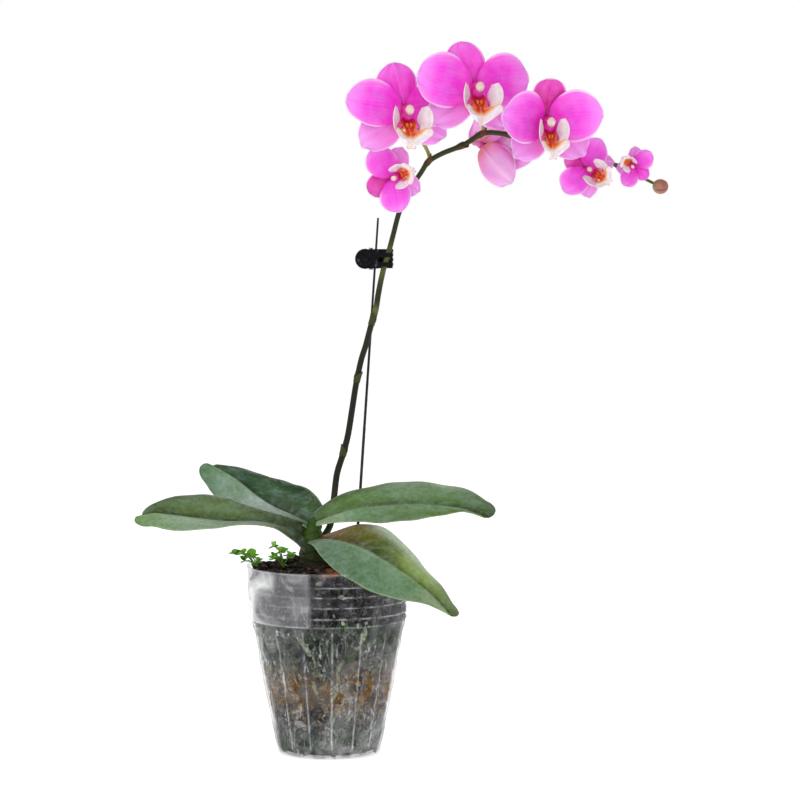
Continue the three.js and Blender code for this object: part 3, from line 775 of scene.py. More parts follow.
def make_bark():
    bark, moss = Piece("bark"), Piece("moss")
    core = [(wall_radius(z) - 4.8, z) for z in (2.5, 3, 20, 40, 60, 80, 98, 104, 120, 134)]
    verts, faces, coords = turned([(0, 2.3), *core, (30, 137), (0, 137.5)], 60)
    verts[:, :2] *= 1 + 0.012 * rng.normal(size=(len(verts), 1))
    bark.add((verts, faces, coords), lin(26, 23, 22))
    for _ in range(WALL_CHIPS):
        z = random.uniform(4, 134)
        a = random.uniform(0, 2 * math.pi)
        size = chip_size((0.4, 0.6, 0.9), (3, 6.5), (2, 4), (0.9, 1.6))
        r = wall_radius(z) - 1.3 - size[2] - random.uniform(0, 2.4)
        upright = spun(Matrix.Identity(3), ("Z", a), ("Y", math.pi / 2), ("Z", random.uniform(0, 7)),
                       ("X", random.uniform(-0.35, 0.35)))
        x, y = r * math.cos(a), r * math.sin(a)
        bark.add(chip((x, y, z), size, upright), bark_tint(x, z))
    for _ in range(TOP_CHIPS):
        a, share = random.uniform(0, 2 * math.pi), math.sqrt(random.random())
        size = chip_size((0.5, 0.75, 1.0), (3, 7), (2, 4.4), (1.2, 2.6))
        z = BARK_TOP - 2.2 * share + random.uniform(-1.2, 2.2)
        x, y = share * 55 * math.cos(a), share * 55 * math.sin(a)
        tone = mixed(lin(50, 38, 30), lin(160, 96, 58), bell(x, 12, 14)) * random.choice([0.3, 0.6, 1.0, 1.3])
        spin = spun(Matrix.Identity(3), ("Z", random.uniform(0, 7)), ("X", random.uniform(-0.9, 0.9)))
        bark.add(chip((x, y, z), size, spin), tone)
    for _ in range(TUFTS):
        z = random.choice([random.uniform(*ends) for ends in ((66, 102), (66, 102), (5, 18), (5, 128))])
        a = random.uniform(0, 2 * math.pi)
        radius = random.uniform(0.9, 3)
        r = wall_radius(z) - 1.4 - radius * 0.6
        tone = lin(34, 60, 18) if random.random() < 0.75 else lin(70, 108, 30)
        radii = (radius * 0.6, radius * 0.6, radius * 1.2)
        lump = ball((r * math.cos(a), r * math.sin(a), z), radii, 6, 8, 0.25)
        moss.add(lump, tone * random.choice([0.35, 0.7, 1.0]))
    bark.make("bark_chips", "bark", "bark_mix", smooth=False)
    moss.make("moss_tufts", "bark", "bark_mix", smooth=False)


def make_stem():
    stem = Piece("stem", "root")
    rows, sides = 90, 36
    spots = path(CROWN, rows)
    z = spots[:, 2:]
    turn = full_turn(sides)
    radius = blend([7, 9.3, 10.4, 9, 4], np.linspace(0, 1, rows))[:, None] + 0 * turn
    for k, edge in enumerate(LEAF_SCARS):
        lift = 2.5 * np.cos(turn + (k % 2) * np.pi)
        radius += 0.7 * (smooth(z + lift, edge, edge + 0.8) - smooth(z + lift, edge + 0.8, edge + 7))
    radius *= 1 + 0.02 * np.sin(turn * 9)
    tones = shades((44, 34, 22), (46, 50, 24), (50, 64, 24), (56, 80, 24), (52, 84, 22))
    stem.add(tube(spots, radius, sides), ringed(blend(tones, smooth(z[:, 0], 128, 176)), sides))
    for bearing, top, foot, sweep in ROOTS:
        wall = []
        for t in (0, 0.25, 0.5, 0.75, 1):
            height = top - 22 + (foot - top + 22) * t
            reach = wall_radius(height) - WALL - 3.6
            a = math.radians(bearing + sweep * t + 5 * math.sin(9 * t))
            wall.append([reach * math.cos(a), reach * math.sin(a), height])
        halfway = [(wall[0][0] - 9) / 2, wall[0][1] / 2, top - 5]
        radius = 2.2 * (1 - 0.25 * np.linspace(0, 1, 70)) * (1 + 0.06 * rng.normal(size=70))
        stem.add(tube(path([[-9, 0, top], halfway, *wall], 70), radius, 14), lin(78, 96, 50), 1)
    stem.make("short_stem", "stem", "stem_and_roots")


# ---- Leaves ----

# Each list is evenly spaced from the stem to the tip. near is the half towards the front, which hangs by its
# angle below the level of the midrib, and far is the other half, which rises by its angle. blunt is the half
# that stays wide at the tip, and overhang is how far it runs past the midrib's end.
# The difference between a leaf's near and far colour lists is painted light over the leaf's own greens and
# browns: the pale grey-greens are painted glare and the dark greens painted shade. The grey share lays a
# painted sheen along each far half, and the share for the far edge lays a painted highlight on it.
LEAVES = {
    "leaf_left_low": dict(
        grey=0.6, pale_edge=0, overhang=6.5, blunt="near",
        midrib=[[-14, -2, 157], [-24, -6, 164], [-38, -11, 170.5], [-54, -15, 173.5], [-74, -19, 173.5],
                [-94, -23, 176.3], [-113, -26, 179.5], [-127, -28, 181.5], [-136, -29, 180.5]],
        near_width=[10, 8.2, 8, 11, 17, 21, 21, 19, 15], near_angle=[60, 44, 18, 2, -4, 4, 16, 28, 34],
        far_width=[12, 10.8, 10, 14.5, 22.5, 24.5, 23, 19, 12],
        far_angle=[62, 60, 58, 56, 54, 52, 50, 46, 40],
        near=shades((50, 58, 32), (84, 98, 60), (142, 164, 132), (164, 184, 160), (122, 158, 86)),
        far=shades((34, 42, 20), (66, 82, 36), (102, 126, 58), (102, 124, 60), (78, 102, 44)),
    ),
    "leaf_left_high": dict(
        grey=0.5, pale_edge=0, overhang=8, blunt="near",
        midrib=[[-12, 5, 168], [-27, 13, 175], [-40, 18, 180.5], [-54, 21, 189], [-70, 25, 201.5],
                [-87, 29, 211.5]],
        near_width=[9, 9, 9, 11, 14, 18, 21, 21, 17], near_angle=[0, 0, 5, 18, 38, 48, 54, 56, 56],
        far_width=[16, 22, 24, 24, 22, 18, 14, 9, 5], far_angle=[72, 68, 64, 60, 56, 52, 50, 50, 50],
        near=shades((110, 126, 100), (172, 184, 178), (176, 190, 186), (140, 164, 146), (84, 124, 78)),
        far=shades((60, 88, 36), (30, 68, 22), (46, 88, 38), (30, 72, 24), (34, 74, 28)),
    ),
    "leaf_right_high": dict(
        grey=1.0, pale_edge=0.15, overhang=6, blunt="far",
        midrib=[[-9, -3, 171], [7, -4.5, 177.5], [22, -5.5, 182], [42, -6, 184.5], [68, -6, 185.5],
                [97, -7, 183], [116.5, -8, 176.5]],
        near_width=[6, 10, 14, 17, 17, 15.5, 12, 7, 3], near_angle=[10, 25, 36, 37, 34, 30, 24, 15, 10],
        far_width=[9, 16, 20, 23, 24, 24, 23, 21, 17], far_angle=[50, 50, 46, 46, 46, 46, 46, 48, 50],
        near=shades((168, 188, 150), (126, 158, 118), (104, 134, 86), (108, 140, 78), (84, 112, 48)),
        far=shades((76, 102, 34), (100, 132, 64), (120, 152, 100), (110, 146, 80), (66, 88, 30)),
    ),
    "leaf_right_low": dict(
        grey=0.0, pale_edge=0.8, overhang=5, blunt="far",
        midrib=[[-10.5, -5, 158], [4, -26, 161], [17.5, -44, 160.5], [33, -57, 155.5], [54.5, -69, 143],
                [74.5, -77, 128.5], [88.5, -81.5, 114.5]],
        near_width=[6, 12.7, 19.9, 24.4, 24.9, 23, 19, 13, 6], near_angle=[6, 17, 35, 52, 59, 60, 45, 31, 22],
        far_width=[6.5, 13, 20, 24.4, 24.9, 24, 21, 18, 14], far_angle=[22, 33, 40, 42, 36, 28, 25, 24, 24],
        near=shades((150, 166, 150), (110, 138, 114), (92, 126, 90), (104, 138, 100), (170, 184, 146)),
        far=shades((132, 58, 6), (122, 96, 0), (84, 98, 0), (160, 184, 94), (88, 106, 50)),
    ),
}


def leaf_surface(leaf, rows, columns):
    """The leaf's middle surface. u runs from the stem to the tip and v from the near edge to the far one."""
    t, v = span(rows, columns)
    u = 0.35 * t + 0.65 * np.sin(np.pi / 2 * t)
    fine = path(leaf["midrib"], 400)
    spot, tangent = blend(fine, u[:, 0]), unit(blend(slopes(fine), u[:, 0]))
    side = unit(np.cross([0, 0, 1], tangent))
    side *= np.where(side[:, 1:2] < 0, -1, 1)
    lift = unit(np.cross(tangent, side))
    lift *= np.where(lift[:, 2:] < 0, -1, 1)
    near = v < 0
    blunt = near == (leaf["blunt"] == "near")
    taper = np.sqrt(np.maximum(1 - np.clip((u - 0.72) / 0.28, 0, 1) ** 2.4, 0.002))
    rounding = np.where(blunt, 1 - 0.12 * smooth(u, 0.85, 1.0), taper)
    width = np.where(near, eased(leaf["near_width"], u), eased(leaf["far_width"], u)) * rounding
    angle = np.radians(np.where(near, eased(leaf["near_angle"], u), eased(leaf["far_angle"], u)))
    angle = angle + np.where(near, 0.1, -0.16) * v * v * smooth(u, 0.1, 0.4)
    across, height = v * width * np.cos(angle), v * width * np.sin(angle)
    height = height - 0.8 * bell(v * width, 0, 1.5) * smooth(u, 0.05, 0.3)
    height = height + 0.5 * np.sin(11 * u + 2 * np.sign(v)) * v**4 + 0.25 * np.sin(31 * u + 7 * v) * v * v
    reach = np.sqrt(np.abs(v) * (1 - np.abs(v))) * 2 * leaf["overhang"]
    ahead = blunt * (reach - 3 * np.abs(v) ** 3) * smooth(u, 0.75, 1.0)
    grid = spot[:, None] + side[:, None] * across[..., None] + lift[:, None] * height[..., None]
    return grid + tangent[:, None] * ahead[..., None], u, v


def leaf_tint(leaf, u, v):
    edge = np.abs(v)
    near, far = blend(leaf["near"], u[:, 0])[:, None], blend(leaf["far"], u[:, 0])[:, None]
    tint = mixed(near, far, smooth(v, -0.03, 0.03))
    # Painted light across the blade: the near half lighter at the midrib and darker towards its edge, the far
    # half darker at the midrib and its edge and lighter between.
    tint = tint * np.where(v > 0, 0.72 + 0.42 * bell(v, 0.48, 0.26), 1.14 - 0.3 * edge**1.5)[..., None]
    # A painted grey sheen along the middle of the far half, as much as the grey share says.
    tint = mixed(tint, lin(118, 136, 134), 0.35 * bell(v, 0.5, 0.2) * smooth(u, 0.2, 0.6) * leaf["grey"])
    # A painted shadow line just beyond the midrib on the far side, and a painted highlight along the midrib's
    # ridge on the near side.
    tint = tint * (1 - 0.45 * bell(v, 0.06, 0.06) * smooth(u, 0.15, 0.4))[..., None]
    tint = mixed(tint, lin(186, 200, 158), 0.6 * bell(v, -0.05, 0.04) * smooth(u, 0.1, 0.3) * (1 - 0.6 * u))
    tint = mixed(tint, lin(190, 204, 160), 0.6 * smooth(edge, 0.94, 1))
    # A painted highlight that whitens the far edge.
    pale = smooth(v, 0.45, 0.95) * smooth(u, 0.28, 0.5) * (1 - smooth(u, 0.7, 0.95)) * leaf["pale_edge"]
    return mixed(tint, lin(222, 232, 214), pale)


def make_leaves():
    for name, leaf in LEAVES.items():
        grid, u, v = leaf_surface(leaf, 130, 45)
        thickness = 2.3 * (1 - 0.75 * np.abs(v) ** 4) * (1 - 0.6 * u**8)
        blade = Piece("leaf")
        blade.add_sheet(grid, thickness, (u, (v + 1) / 2), leaf_tint(leaf, u, v))
        blade.make(name + "_blade", "leaf", name)


# ---- Flowers ----

# Each flower's hub is its middle, and its node is where its stalk leaves the spike, seen from the front.
# Angles are in degrees: yaw, pitch and roll turn the flower, hood its upper sepal, and turns its other parts.
# open is 1 for a flat flower, dome is the upper sepal's roundness and pale a share of white. The widths and
# the lip are shares of the usual ones.
FLOWERS = [
    dict(name="flower_1", hub=[56, -26, 476.2], size=92, yaw=19, pitch=4, hood=14, node=[74, 439],
         petal_width=0.84, turns=dict(sepal_right=14)),
    dict(name="flower_2", hub=[107, -28, 492.5], size=91, yaw=18, pitch=3, hood=20, node=[113, 458]),
    dict(name="flower_3", hub=[159, -35, 468], size=87, yaw=15, pitch=8, roll=2, open=0.6, node=[134, 458],
         dome=0.3, dorsal_width=0.9),
    dict(name="flower_4", hub=[47.3, -15, 426.6], size=54, yaw=10, pitch=2, roll=113, hood=8, node=[61, 417]),
    dict(name="flower_5", hub=[115, 28, 450.5], size=88, yaw=138, pitch=14, roll=6, open=0.6, node=[99, 449],
         turns=dict(sepal_left=-4, sepal_right=104, petal_right=62), pale=0.5, lip=0.72),
    dict(name="flower_6", hub=[190, -15, 433.3], size=50, yaw=12, pitch=4, roll=56, node=[183, 447],
         lip=1.18),
    dict(name="flower_7", hub=[225, -11, 434.8], size=34, yaw=-22, pitch=0, roll=-131, node=[214, 435]),
]
# The lengths of a flower's parts are shares of its size.
UPPER = dict(widest=0.95, depth=0.03, lean=-4, bow=0.05, cup=0.1, blunt=0.46)
PETAL = dict(length=0.455, width=0.222, widest=0.98, depth=0, lean=1, bow=0.1, cup=0.06, blunt=0.5)
LATERAL = dict(length=0.42, width=0.165, widest=0.95, depth=0.03, lean=-4, bow=0.05, cup=0.1, blunt=0.5)
TEPALS = {
    "dorsal_sepal": dict(angle=90, length=0.35, width=0.172, **UPPER),
    "petal_left": dict(angle=171, **PETAL),
    "petal_right": dict(angle=9, **PETAL),
    "sepal_left": dict(angle=223, **LATERAL),
    "sepal_right": dict(angle=317, **LATERAL),
}
HUB_RADIUS = 0.036
CLAW = 0.03
HOT, PINK, PALE, EDGE = shades((248, 16, 212), (250, 62, 226), (252, 142, 248), (253, 222, 253))
WHITE, YELLOW, ORANGE, THROAT = shades((246, 238, 242), (240, 184, 74), (226, 62, 16), (236, 32, 140))
DEEP_SEPALS = ("flower_3", "flower_4", "flower_6")
DEEP_TIPS = ("flower_3", "flower_4")


def flower_matrix(flower):
    yaw, pitch, roll = (math.radians(flower.get(key, 0)) for key in ("yaw", "pitch", "roll"))
    turn = spun(Matrix.Identity(4), ("Z", yaw), ("X", pitch), ("Y", -roll))
    return Matrix.Translation(flower["hub"]) @ turn


def tepal(flower, part, phase):
    """A petal or sepal: its grid, how far from the hub, 0 to 1, and across, -1 to 1, and its thickness."""
    shape, size, opened = TEPALS[part], flower["size"], flower.get("open", 1)
    petal, dorsal = part.startswith("petal"), part == "dorsal_sepal"
    turn = flower.get("hood", 0) if dorsal else flower.get("turns", {}).get(part, 0)
    angle = math.radians(shape["angle"] + turn)
    outward = np.array([math.cos(angle), 0, math.sin(angle)])
    sideways = np.array([-math.sin(angle), 0, math.cos(angle)])
    back = np.array([0, 1.0, 0])
    lean = math.radians((68 + 2 * shape["lean"]) * (1 - opened) + shape["lean"] * opened)
    cup = -0.5 * (1 - opened) + shape["cup"] * opened
    t, v = span(50, 39) if size > 60 else span(36, 27)
    s = 0.25 * t + 0.75 * (1 - np.cos(np.pi * t)) / 2
    up = v if part == "petal_right" else -v
    skew = 1 + 0.13 * up if petal else 1
    blunt = flower.get("dome", shape["blunt"]) if dorsal else shape["blunt"]
    blade = np.sin(np.pi * np.minimum(s, 0.985) ** (shape["widest"] * skew)) ** blunt
    width = shape["width"] * (flower.get("petal_width", 1) * (1 + 0.06 * up) if petal else 1)
    width = width * (flower.get("dorsal_width", 1) if dorsal else 1)
    half = size * (CLAW * (1 - s) + (width - CLAW * (1 - s)) * blade)
    uneven = 0.014 * np.sin(5 * v + 3 * phase) * (1 - smooth(s, 0.75, 0.95))
    pull = 0.015 if petal or dorsal else 0.045
    reach = shape["length"] * size * s * (1 + uneven - pull * v**2 * smooth(s, 0.85, 1))
    curl = shape["bow"] * shape["length"] * size * s * s + cup * half * v * v
    ripple = 0.02 * size * s * np.abs(v) ** 2.2 * np.sin(2 * np.pi * (1.5 * s + phase) + 1.5 * v)
    ripple = (ripple + 0.006 * size * s * np.sin(7 * s + 9 * v + 5 * phase)) * smooth(blade, 0.1, 0.7)
    crease = 0.009 * size * bell(v, 0, 0.08) * (1 - 0.6 * s)
    out = HUB_RADIUS * size * 0.75 + reach * math.cos(lean) + curl * math.sin(lean)
    depth = shape["depth"] * size - reach * math.sin(lean) + curl * math.cos(lean) + ripple + crease
    grid = outward * out[..., None] + sideways * (v * half)[..., None] + back * depth[..., None]
    thickness = (0.25 + 0.008 * size) * (1 - 0.6 * np.abs(v) ** 3) * (1 - 0.4 * s**4)
    return grid, s, v, thickness


def tepal_tint(flower, part, s, v):
    name, edge = flower["name"], np.abs(v)
    if part.startswith("petal"):
        tint = mixed(mixed(HOT, PINK, smooth(s, 0.16, 0.62)), PALE, smooth(s, 0.55, 1.0))
        tint = mixed(tint, lin(246, 158, 240), 0.4 * smooth(edge, 0.45, 1) * smooth(s, 0.16, 0.45))
        tint = mixed(tint, lin(206, 96, 222), 0.3 * bell(s, 0.42, 0.2) * bell(edge, 0.3, 0.4))
    elif part == "dorsal_sepal":
        deep = lin(216, 14, 158) if name in DEEP_SEPALS else lin(250, 50, 220)
        tip = lin(236, 66, 200) if name in DEEP_TIPS else lin(244, 116, 232)
        tint = mixed(deep, tip, smooth(s, 0.35, 1) * 0.75)
        tint = mixed(tint, lin(186, 30, 146), 0.3 * (0.5 + 0.5 * np.cos(v * 22)) * (1 - s))
    else:
        tint = mixed(lin(240, 52, 160), lin(244, 128, 228), smooth(s, 0.15, 0.45))
        tint = mixed(tint, lin(247, 174, 248), smooth(s, 0.45, 1) * 0.8)
    if "pale" in flower:
        tint = mixed(tint, lin(248, 206, 240), flower["pale"] + 0.4 * bell(v, 0, 0.3) * smooth(s, 0.1, 0.4))
        tint = mixed(tint, lin(226, 50, 170), 0.8 * smooth(-v, 0.55, 0.95) * (1 - smooth(s, 0.6, 0.95)))
        tint = mixed(tint, lin(226, 130, 110), 0.8 * (1 - smooth(s, 0.03, 0.18)))
    rim = np.maximum(smooth(edge, 0.88, 1.0) * smooth(s, 0.2, 0.4), smooth(s, 0.965, 1.0))
    return mixed(tint, EDGE, 0.9 * rim)


def side_lobe(side):
    """A side lobe of the lip, for a flower of size 1: an ear that stands up beside the column."""
    t, v = span(26, 17)
    bends = [(0.035, -0.09, -0.125), (0.1, -0.13, -0.215), (0.17, -0.17, -0.1), (0.125, -0.155, 0.03)]
    spine = bezier(bends, 26)
    direction = slopes(spine)
    forward = np.array([0.5, -0.86, -0.1])
    wide = unit(forward - direction * (direction @ forward)[:, None])
    inward = unit(np.cross(direction, wide))
    half = 0.07 * np.sin(np.pi * np.clip(0.06 + 0.94 * t, 0, 0.98) ** 2.2) ** 0.44 + 0.006
    bend = -0.42 * half * v * v + 0.25 * half * np.maximum(v, 0) ** 3
    grid = spine[:, None] + wide[:, None] * (v * half)[..., None] + inward[:, None] * bend[..., None]
    tint = mixed(THROAT, WHITE, smooth(t, 0.12, 0.42))
    tint = mixed(tint, lin(214, 150, 190), 0.5 * smooth(-v, -0.2, 0.8) * smooth(t, 0.3, 0.6))
    tint = mixed(tint, YELLOW, 0.85 * smooth(0.55 - t, 0, 0.2) * smooth(v, 0.1, 0.8))
    if side < 0:
        grid, tint = (grid * np.array([-1, 1, 1]))[:, ::-1], tint[:, ::-1]
    return grid, tint, np.clip(1.2 - 3.4 * t, 0, 1)


def mid_lobe():
    """The lip's tongue, for a flower of size 1: an open throat that narrows, then widens to an anchor."""
    rows, columns = 40, 23
    t, v = span(rows, columns)
    edge = np.abs(v)
    spine = bezier([(0, -0.05, -0.075), (0, -0.13, -0.15), (0, -0.215, -0.22), (0, -0.19, -0.3)], rows)
    direction = slopes(spine)
    up = unit(np.cross([1.0, 0, 0], direction))
    up *= np.where(up[:, 1:2] > 0, -1, 1)
    half = eased([0.045, 0.06, 0.062, 0.052, 0.04, 0.055, 0.115, 0.146, 0.14, 0.06], t)
    rise = 0.5 * half * v * v + 0.02 * smooth(t, 0.5, 0.75) * edge
    rise = rise + 0.016 * bell(v, 0, 0.16) * smooth(t, 0.1, 0.35) * (1 - smooth(t, 0.75, 0.9))
    lag = -0.09 * edge**1.8 * smooth(t, 0.45, 0.8)
    grid = spine[:, None] + np.array([1.0, 0, 0]) * (v * half)[..., None] + up[:, None] * rise[..., None]
    grid = grid + direction[:, None] * lag[..., None]
    tint = mixed(THROAT, ORANGE, smooth(t, 0.05, 0.22))
    tint = mixed(tint, YELLOW, 0.8 * smooth(t, 0.56, 0.66))
    tint = mixed(tint, YELLOW, 0.6 * smooth(edge, 0.75, 0.95) * smooth(t, 0.15, 0.3))
    tint = mixed(tint, WHITE, smooth(t, 0.62, 0.74))
    rim = smooth(edge, 0.88, 1) * smooth(t, 0.55, 0.7) * (1 - smooth(t, 0.7, 0.9))
    tint = mixed(tint, lin(236, 150, 90), 0.4 * rim)
    tint = mixed(tint, lin(240, 190, 140), 0.6 * bell(v, 0, 0.09) * smooth(t, 0.2, 0.4))
    return grid, tint, np.clip(1.9 - 2.6 * t, 0, 1) * (1 - 0.5 * edge)


def make_lip(flower, matrix):
    size, share = flower["size"], flower.get("lip", 1)
    matrix = matrix @ Matrix.Diagonal((share * (0.45 + 0.55 * flower.get("open", 1)), share, share, 1))
    lip = Piece("lip")
    for grid, tint, speckle in (side_lobe(1), side_lobe(-1), mid_lobe()):
        lip.add_sheet(grid * size, 0.55, (speckle, 0), tint, matrix)
    for x in (-0.016, 0.016):
        centre, radii = np.array([x, -0.125, -0.12]) * size, np.array([0.013, 0.018, 0.02]) * size
        lip.add(ball(centre, radii, 9, 12, 0.03), lin(226, 120, 40), matrix=matrix)
    t = np.linspace(0, 1, 14)
    for side in (-1, 1):
        tendril = np.stack([side * (0.006 + 0.03 * np.sin(2.4 * t)), -0.19 - 0.03 * t + 0.03 * t * t,
                            -0.292 - 0.016 * np.sin(2.6 * t) + 0.03 * t * t], 1)
        radius = size * (0.007 - 0.0045 * np.linspace(0, 1, 20))
        lip.add(tube(path(tendril * size, 20), radius, 8), WHITE, matrix=matrix)
    lip.make(flower["name"] + "_lip_lobes", "lip", flower["name"] + "_lip")


def add_column(spike, flower, matrix):
    """The pink column with its cream anther cap and the hollow under it."""
    size, share = flower["size"], np.linspace(0, 1, 26)
    route = np.array([[0, 0.06, 0], [0, 0, 0.004], [0, -0.06, 0.008], [0, -0.105, 0], [0, -0.122, -0.01]])
    radius = size * blend([0.026, 0.036, 0.03, 0.034, 0.036, 0.026], share)
    tint = blend(shades((214, 60, 160), (226, 24, 170), (226, 40, 180), (222, 80, 190)), share)
    spike.add(tube(path(route * size, 26), radius, 16), ringed(tint, 16), 1, matrix)
    centre, radii = np.array([0, -0.09, -0.042]) * size, np.array([0.042, 0.036, 0.045]) * size
    spike.add(ball(centre, radii, 14, 20, 0.01), lin(222, 36, 166), 1, matrix)
    verts, faces, coords = ball((0, 0, 0), (1, 1, 1), 18, 26)
    groove = 1 - 0.16 * bell(verts[:, :1], 0, 0.15) * (verts[:, 1:2] < 0) * (verts[:, 2:] < 0.5)
    low = np.minimum(verts[:, 2:], 0)
    verts = verts * groove * np.array([0.036, 0.036, 0.043]) * (1 + 0.25 * low * np.array([1, 0.4, 0]))
    cap = mixed(lin(232, 214, 206), lin(226, 206, 150), smooth(verts[:, 2], -0.01, 0.035) * 0.5)
    cap = mixed(cap, lin(226, 170, 160), smooth(-verts[:, 2], 0.01, 0.04))
    spike.add(((verts + np.array([0, -0.138, 0])) * size, faces, coords), cap, 1, matrix)


def make_flowers(spike):
    for index, flower in enumerate(FLOWERS):
        matrix = flower_matrix(flower)
        for k, part in enumerate(TEPALS):
            grid, s, v, thickness = tepal(flower, part, 0.37 * index + 0.61 * k)
            blade = Piece("petal")
            blade.add_sheet(grid, thickness, (s, (v + 1) / 2), tepal_tint(flower, part, s, v), matrix)
            node = f"{flower['name']}_{part}"
            blade.make(node + "_blade", "petal" if part.startswith("petal") else "sepal", node)
        make_lip(flower, matrix)
        add_column(spike, flower, matrix)


# ---- Spike ----

SPIKE = [
    [-5.9, 9.4, 157], [1, 13, 168.5], [3.7, 12.5, 188.5], [6, 10.5, 206.5], [10.5, 8.5, 221.5],
    [14.3, 6.5, 236], [17.7, 4.5, 257], [20.4, 3, 274], [24.1, 1.5, 291.5], [27.8, 0.5, 303.5],
    [31.5, 0, 317.5], [34.9, 0, 328.5], [36.8, 0, 340], [39, 0, 351.5], [41.9, 0, 363.5],
    [44.9, 0, 373], [47.8, 0, 384], [53, 0, 403], [61, 1, 419], [68.5, 1, 430.5],
    [74, 1, 438.5], [84, 2, 444.5], [100, 3, 451], [115, 4, 459.5], [133, 5, 458.5],
    [156.5, 5, 453], [182, 4, 447], [204, 3, 439.5], [223, 2, 431], [239.6, 0.6, 422.9],
]
SPIKE_LENGTH = 480  # along its curve
SPIKE_RADII = [2.5, 2.4, 2.3, 2.2, 2.15, 1.9, 1.85, 1.95, 1.8, 1.45, 1.1]
SPIKE_TINTS = shades((60, 76, 30), (28, 34, 18), (24, 30, 20), (30, 34, 20), (40, 44, 22), (42, 48, 24),
                     (58, 66, 32), (56, 66, 30), (62, 78, 32), (76, 92, 38), (98, 102, 50))
# Lighter bands of the spike: the one at 364 is a painted highlight down its middle beside the clip, and the
# one at 329 lightens the node.
PALE_BANDS = [(364, 12), (329, 4)]  # height, reach
BRACTS = [0.15, 0.27, 0.362]  # shares of the spike
BUD_CENTRE, BUD_RADII = np.array([245, 0, 420.3]), np.array([1.05, 0.9, 1.0]) * 5.6


def bract(spot, direction, outward, girth, length):
    """A small pointed scale that clasps the stem."""
    t, v = span(12, 13)
    outward = unit(outward - direction * np.dot(outward, direction))
    side = np.cross(direction, outward)
    wrap = (2.4 * (1 - t**1.7) + 0.08) * v
    ring = np.cos(wrap)[..., None] * outward + np.sin(wrap)[..., None] * side
    along, radius = length * (t - 0.1), girth * (1.12 + 0.35 * t**2)
    return slab(spot + direction * along[..., None] + ring * radius[..., None], 0.35, (t, (v + 1) / 2))


def make_spike():
    spike = Piece("stem", "lip")
    rows = 420
    spots = path(SPIKE, rows)
    directions = slopes(spots)
    share = np.linspace(0, 1, rows)
    scars = [int(b * rows) for b in BRACTS]
    joints = [int(np.argmin((spots[:, 0] - x) ** 2 + (spots[:, 2] - z) ** 2)) for x, z in
              (flower["node"] for flower in FLOWERS)]
    radius = blend(SPIKE_RADII, share)
    for i in scars + joints:
        radius = radius + 0.55 * bell((share - i / rows) * SPIKE_LENGTH, 0, 2.2)
    tint = blend(SPIKE_TINTS, share)
    # Lighter bands, the upper one a painted highlight.
    for height, reach in PALE_BANDS:
        tint = mixed(tint, lin(112, 118, 60), 0.7 * bell(spots[:, 2], height, reach))
    spike.add(tube(spots, radius, 18), ringed(tint, 18))
    for k, i in enumerate(scars):
        outward = np.array([1.0 if k % 2 else -1.0, -0.5, 0])
        spike.add(bract(spots[i - 3], directions[i], outward, radius[i - 8], 9), lin(60, 66, 30))
    t = np.linspace(0, 1, 30)
    for flower, i in zip(FLOWERS, joints):
        size, matrix = flower["size"], flower_matrix(flower)
        lift = directions[i] * 0.1 * size
        ends = [np.array(matrix @ Vector((0, y * size, 0))) for y in (0.24, 0.05)]
        stalk = bezier([spots[i], spots[i] + lift, *ends], 30)
        girth = 1.5 - 0.35 * np.sin(np.pi * t) + 0.006 * size * t
        green = lin(158, 160, 84) if flower["name"] in ("flower_1", "flower_2") else lin(140, 128, 84)
        tint = blend([lin(86, 66, 44), green, green, lin(214, 150, 176), lin(232, 130, 200)], t)
        spike.add(tube(stalk, girth, 12), ringed(tint, 12))
        outward = lift + stalk[8] - spots[i] + np.array([0, 0, -2.0])
        spike.add(bract(spots[i], directions[i], outward, radius[i] * 0.9, 6.5), lin(98, 66, 42))
    make_flowers(spike)
    spike.make("spike_and_columns", "spike", "flower_spike")


def make_bud():
    verts, faces, coords = ball((0, 0, 0), (1, 1, 1), 26, 40)
    along = (verts[:, 0] + 1) / 2
    around = np.arctan2(verts[:, 1], verts[:, 2])
    seam = bell(np.sin(1.5 * around), 0, 0.16) * np.sin(np.pi * along)
    tint = blend(shades((150, 148, 96), (176, 120, 100), (164, 100, 88), (150, 98, 84)), along)
    bud = Piece("bud")
    verts = verts * (1 - 0.05 * seam)[:, None] * BUD_RADII + BUD_CENTRE
    # The seam is darkened as painted shade in its crease.
    bud.add((verts, faces, coords), mixed(tint, lin(70, 34, 32), 0.85 * seam))
    bud.make("closed_bud", "bud", "bud")


# ---- Stake and clip ----

STAKE = [[12.4, 26, 30], [36.8, 2.1, 397]]
PIN = [31.6, 2.2]
CLIP_LOW, CLIP_HIGH = 359.4, 374.6
JAWS = [("clip_jaw_front", "clip_front", -1), ("clip_jaw_back", "plant", 1)]  # node, body, side


def make_stake():
    spots = path([STAKE[0], np.mean(STAKE, axis=0), STAKE[1]], 120)
    wobble = 1 + 0.02 * rng.normal(size=120)
    stake = Piece("coated_wire")
    stake.add(tube(spots, (1.4 - 0.63 * np.linspace(0, 1, 120)) * wobble, 14))
    stake.make("support_stake", "stake", "stake")


def moulded(node):
    """A jaw's CAD mesh with its edges rounded."""
    draft = link_object("draft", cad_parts[node].data.copy())
    draft.modifiers.new("weld", "WELD").merge_threshold = 0.02 * MM
    flat = draft.modifiers.new("flat", "DECIMATE")
    flat.decimate_type = "DISSOLVE"
    flat.angle_limit = math.radians(2)
    edges = draft.modifiers.new("edges", "BEVEL")
    edges.width = 0.28 * MM
    edges.segments = 3
    edges.angle_limit = math.radians(35)
    mesh = finished(draft, "black_plastic")
    mesh.polygons.foreach_set("material_index", [0] * len(mesh.polygons))
    mesh.polygons.foreach_set("use_smooth", [True] * len(mesh.polygons))
    return mesh


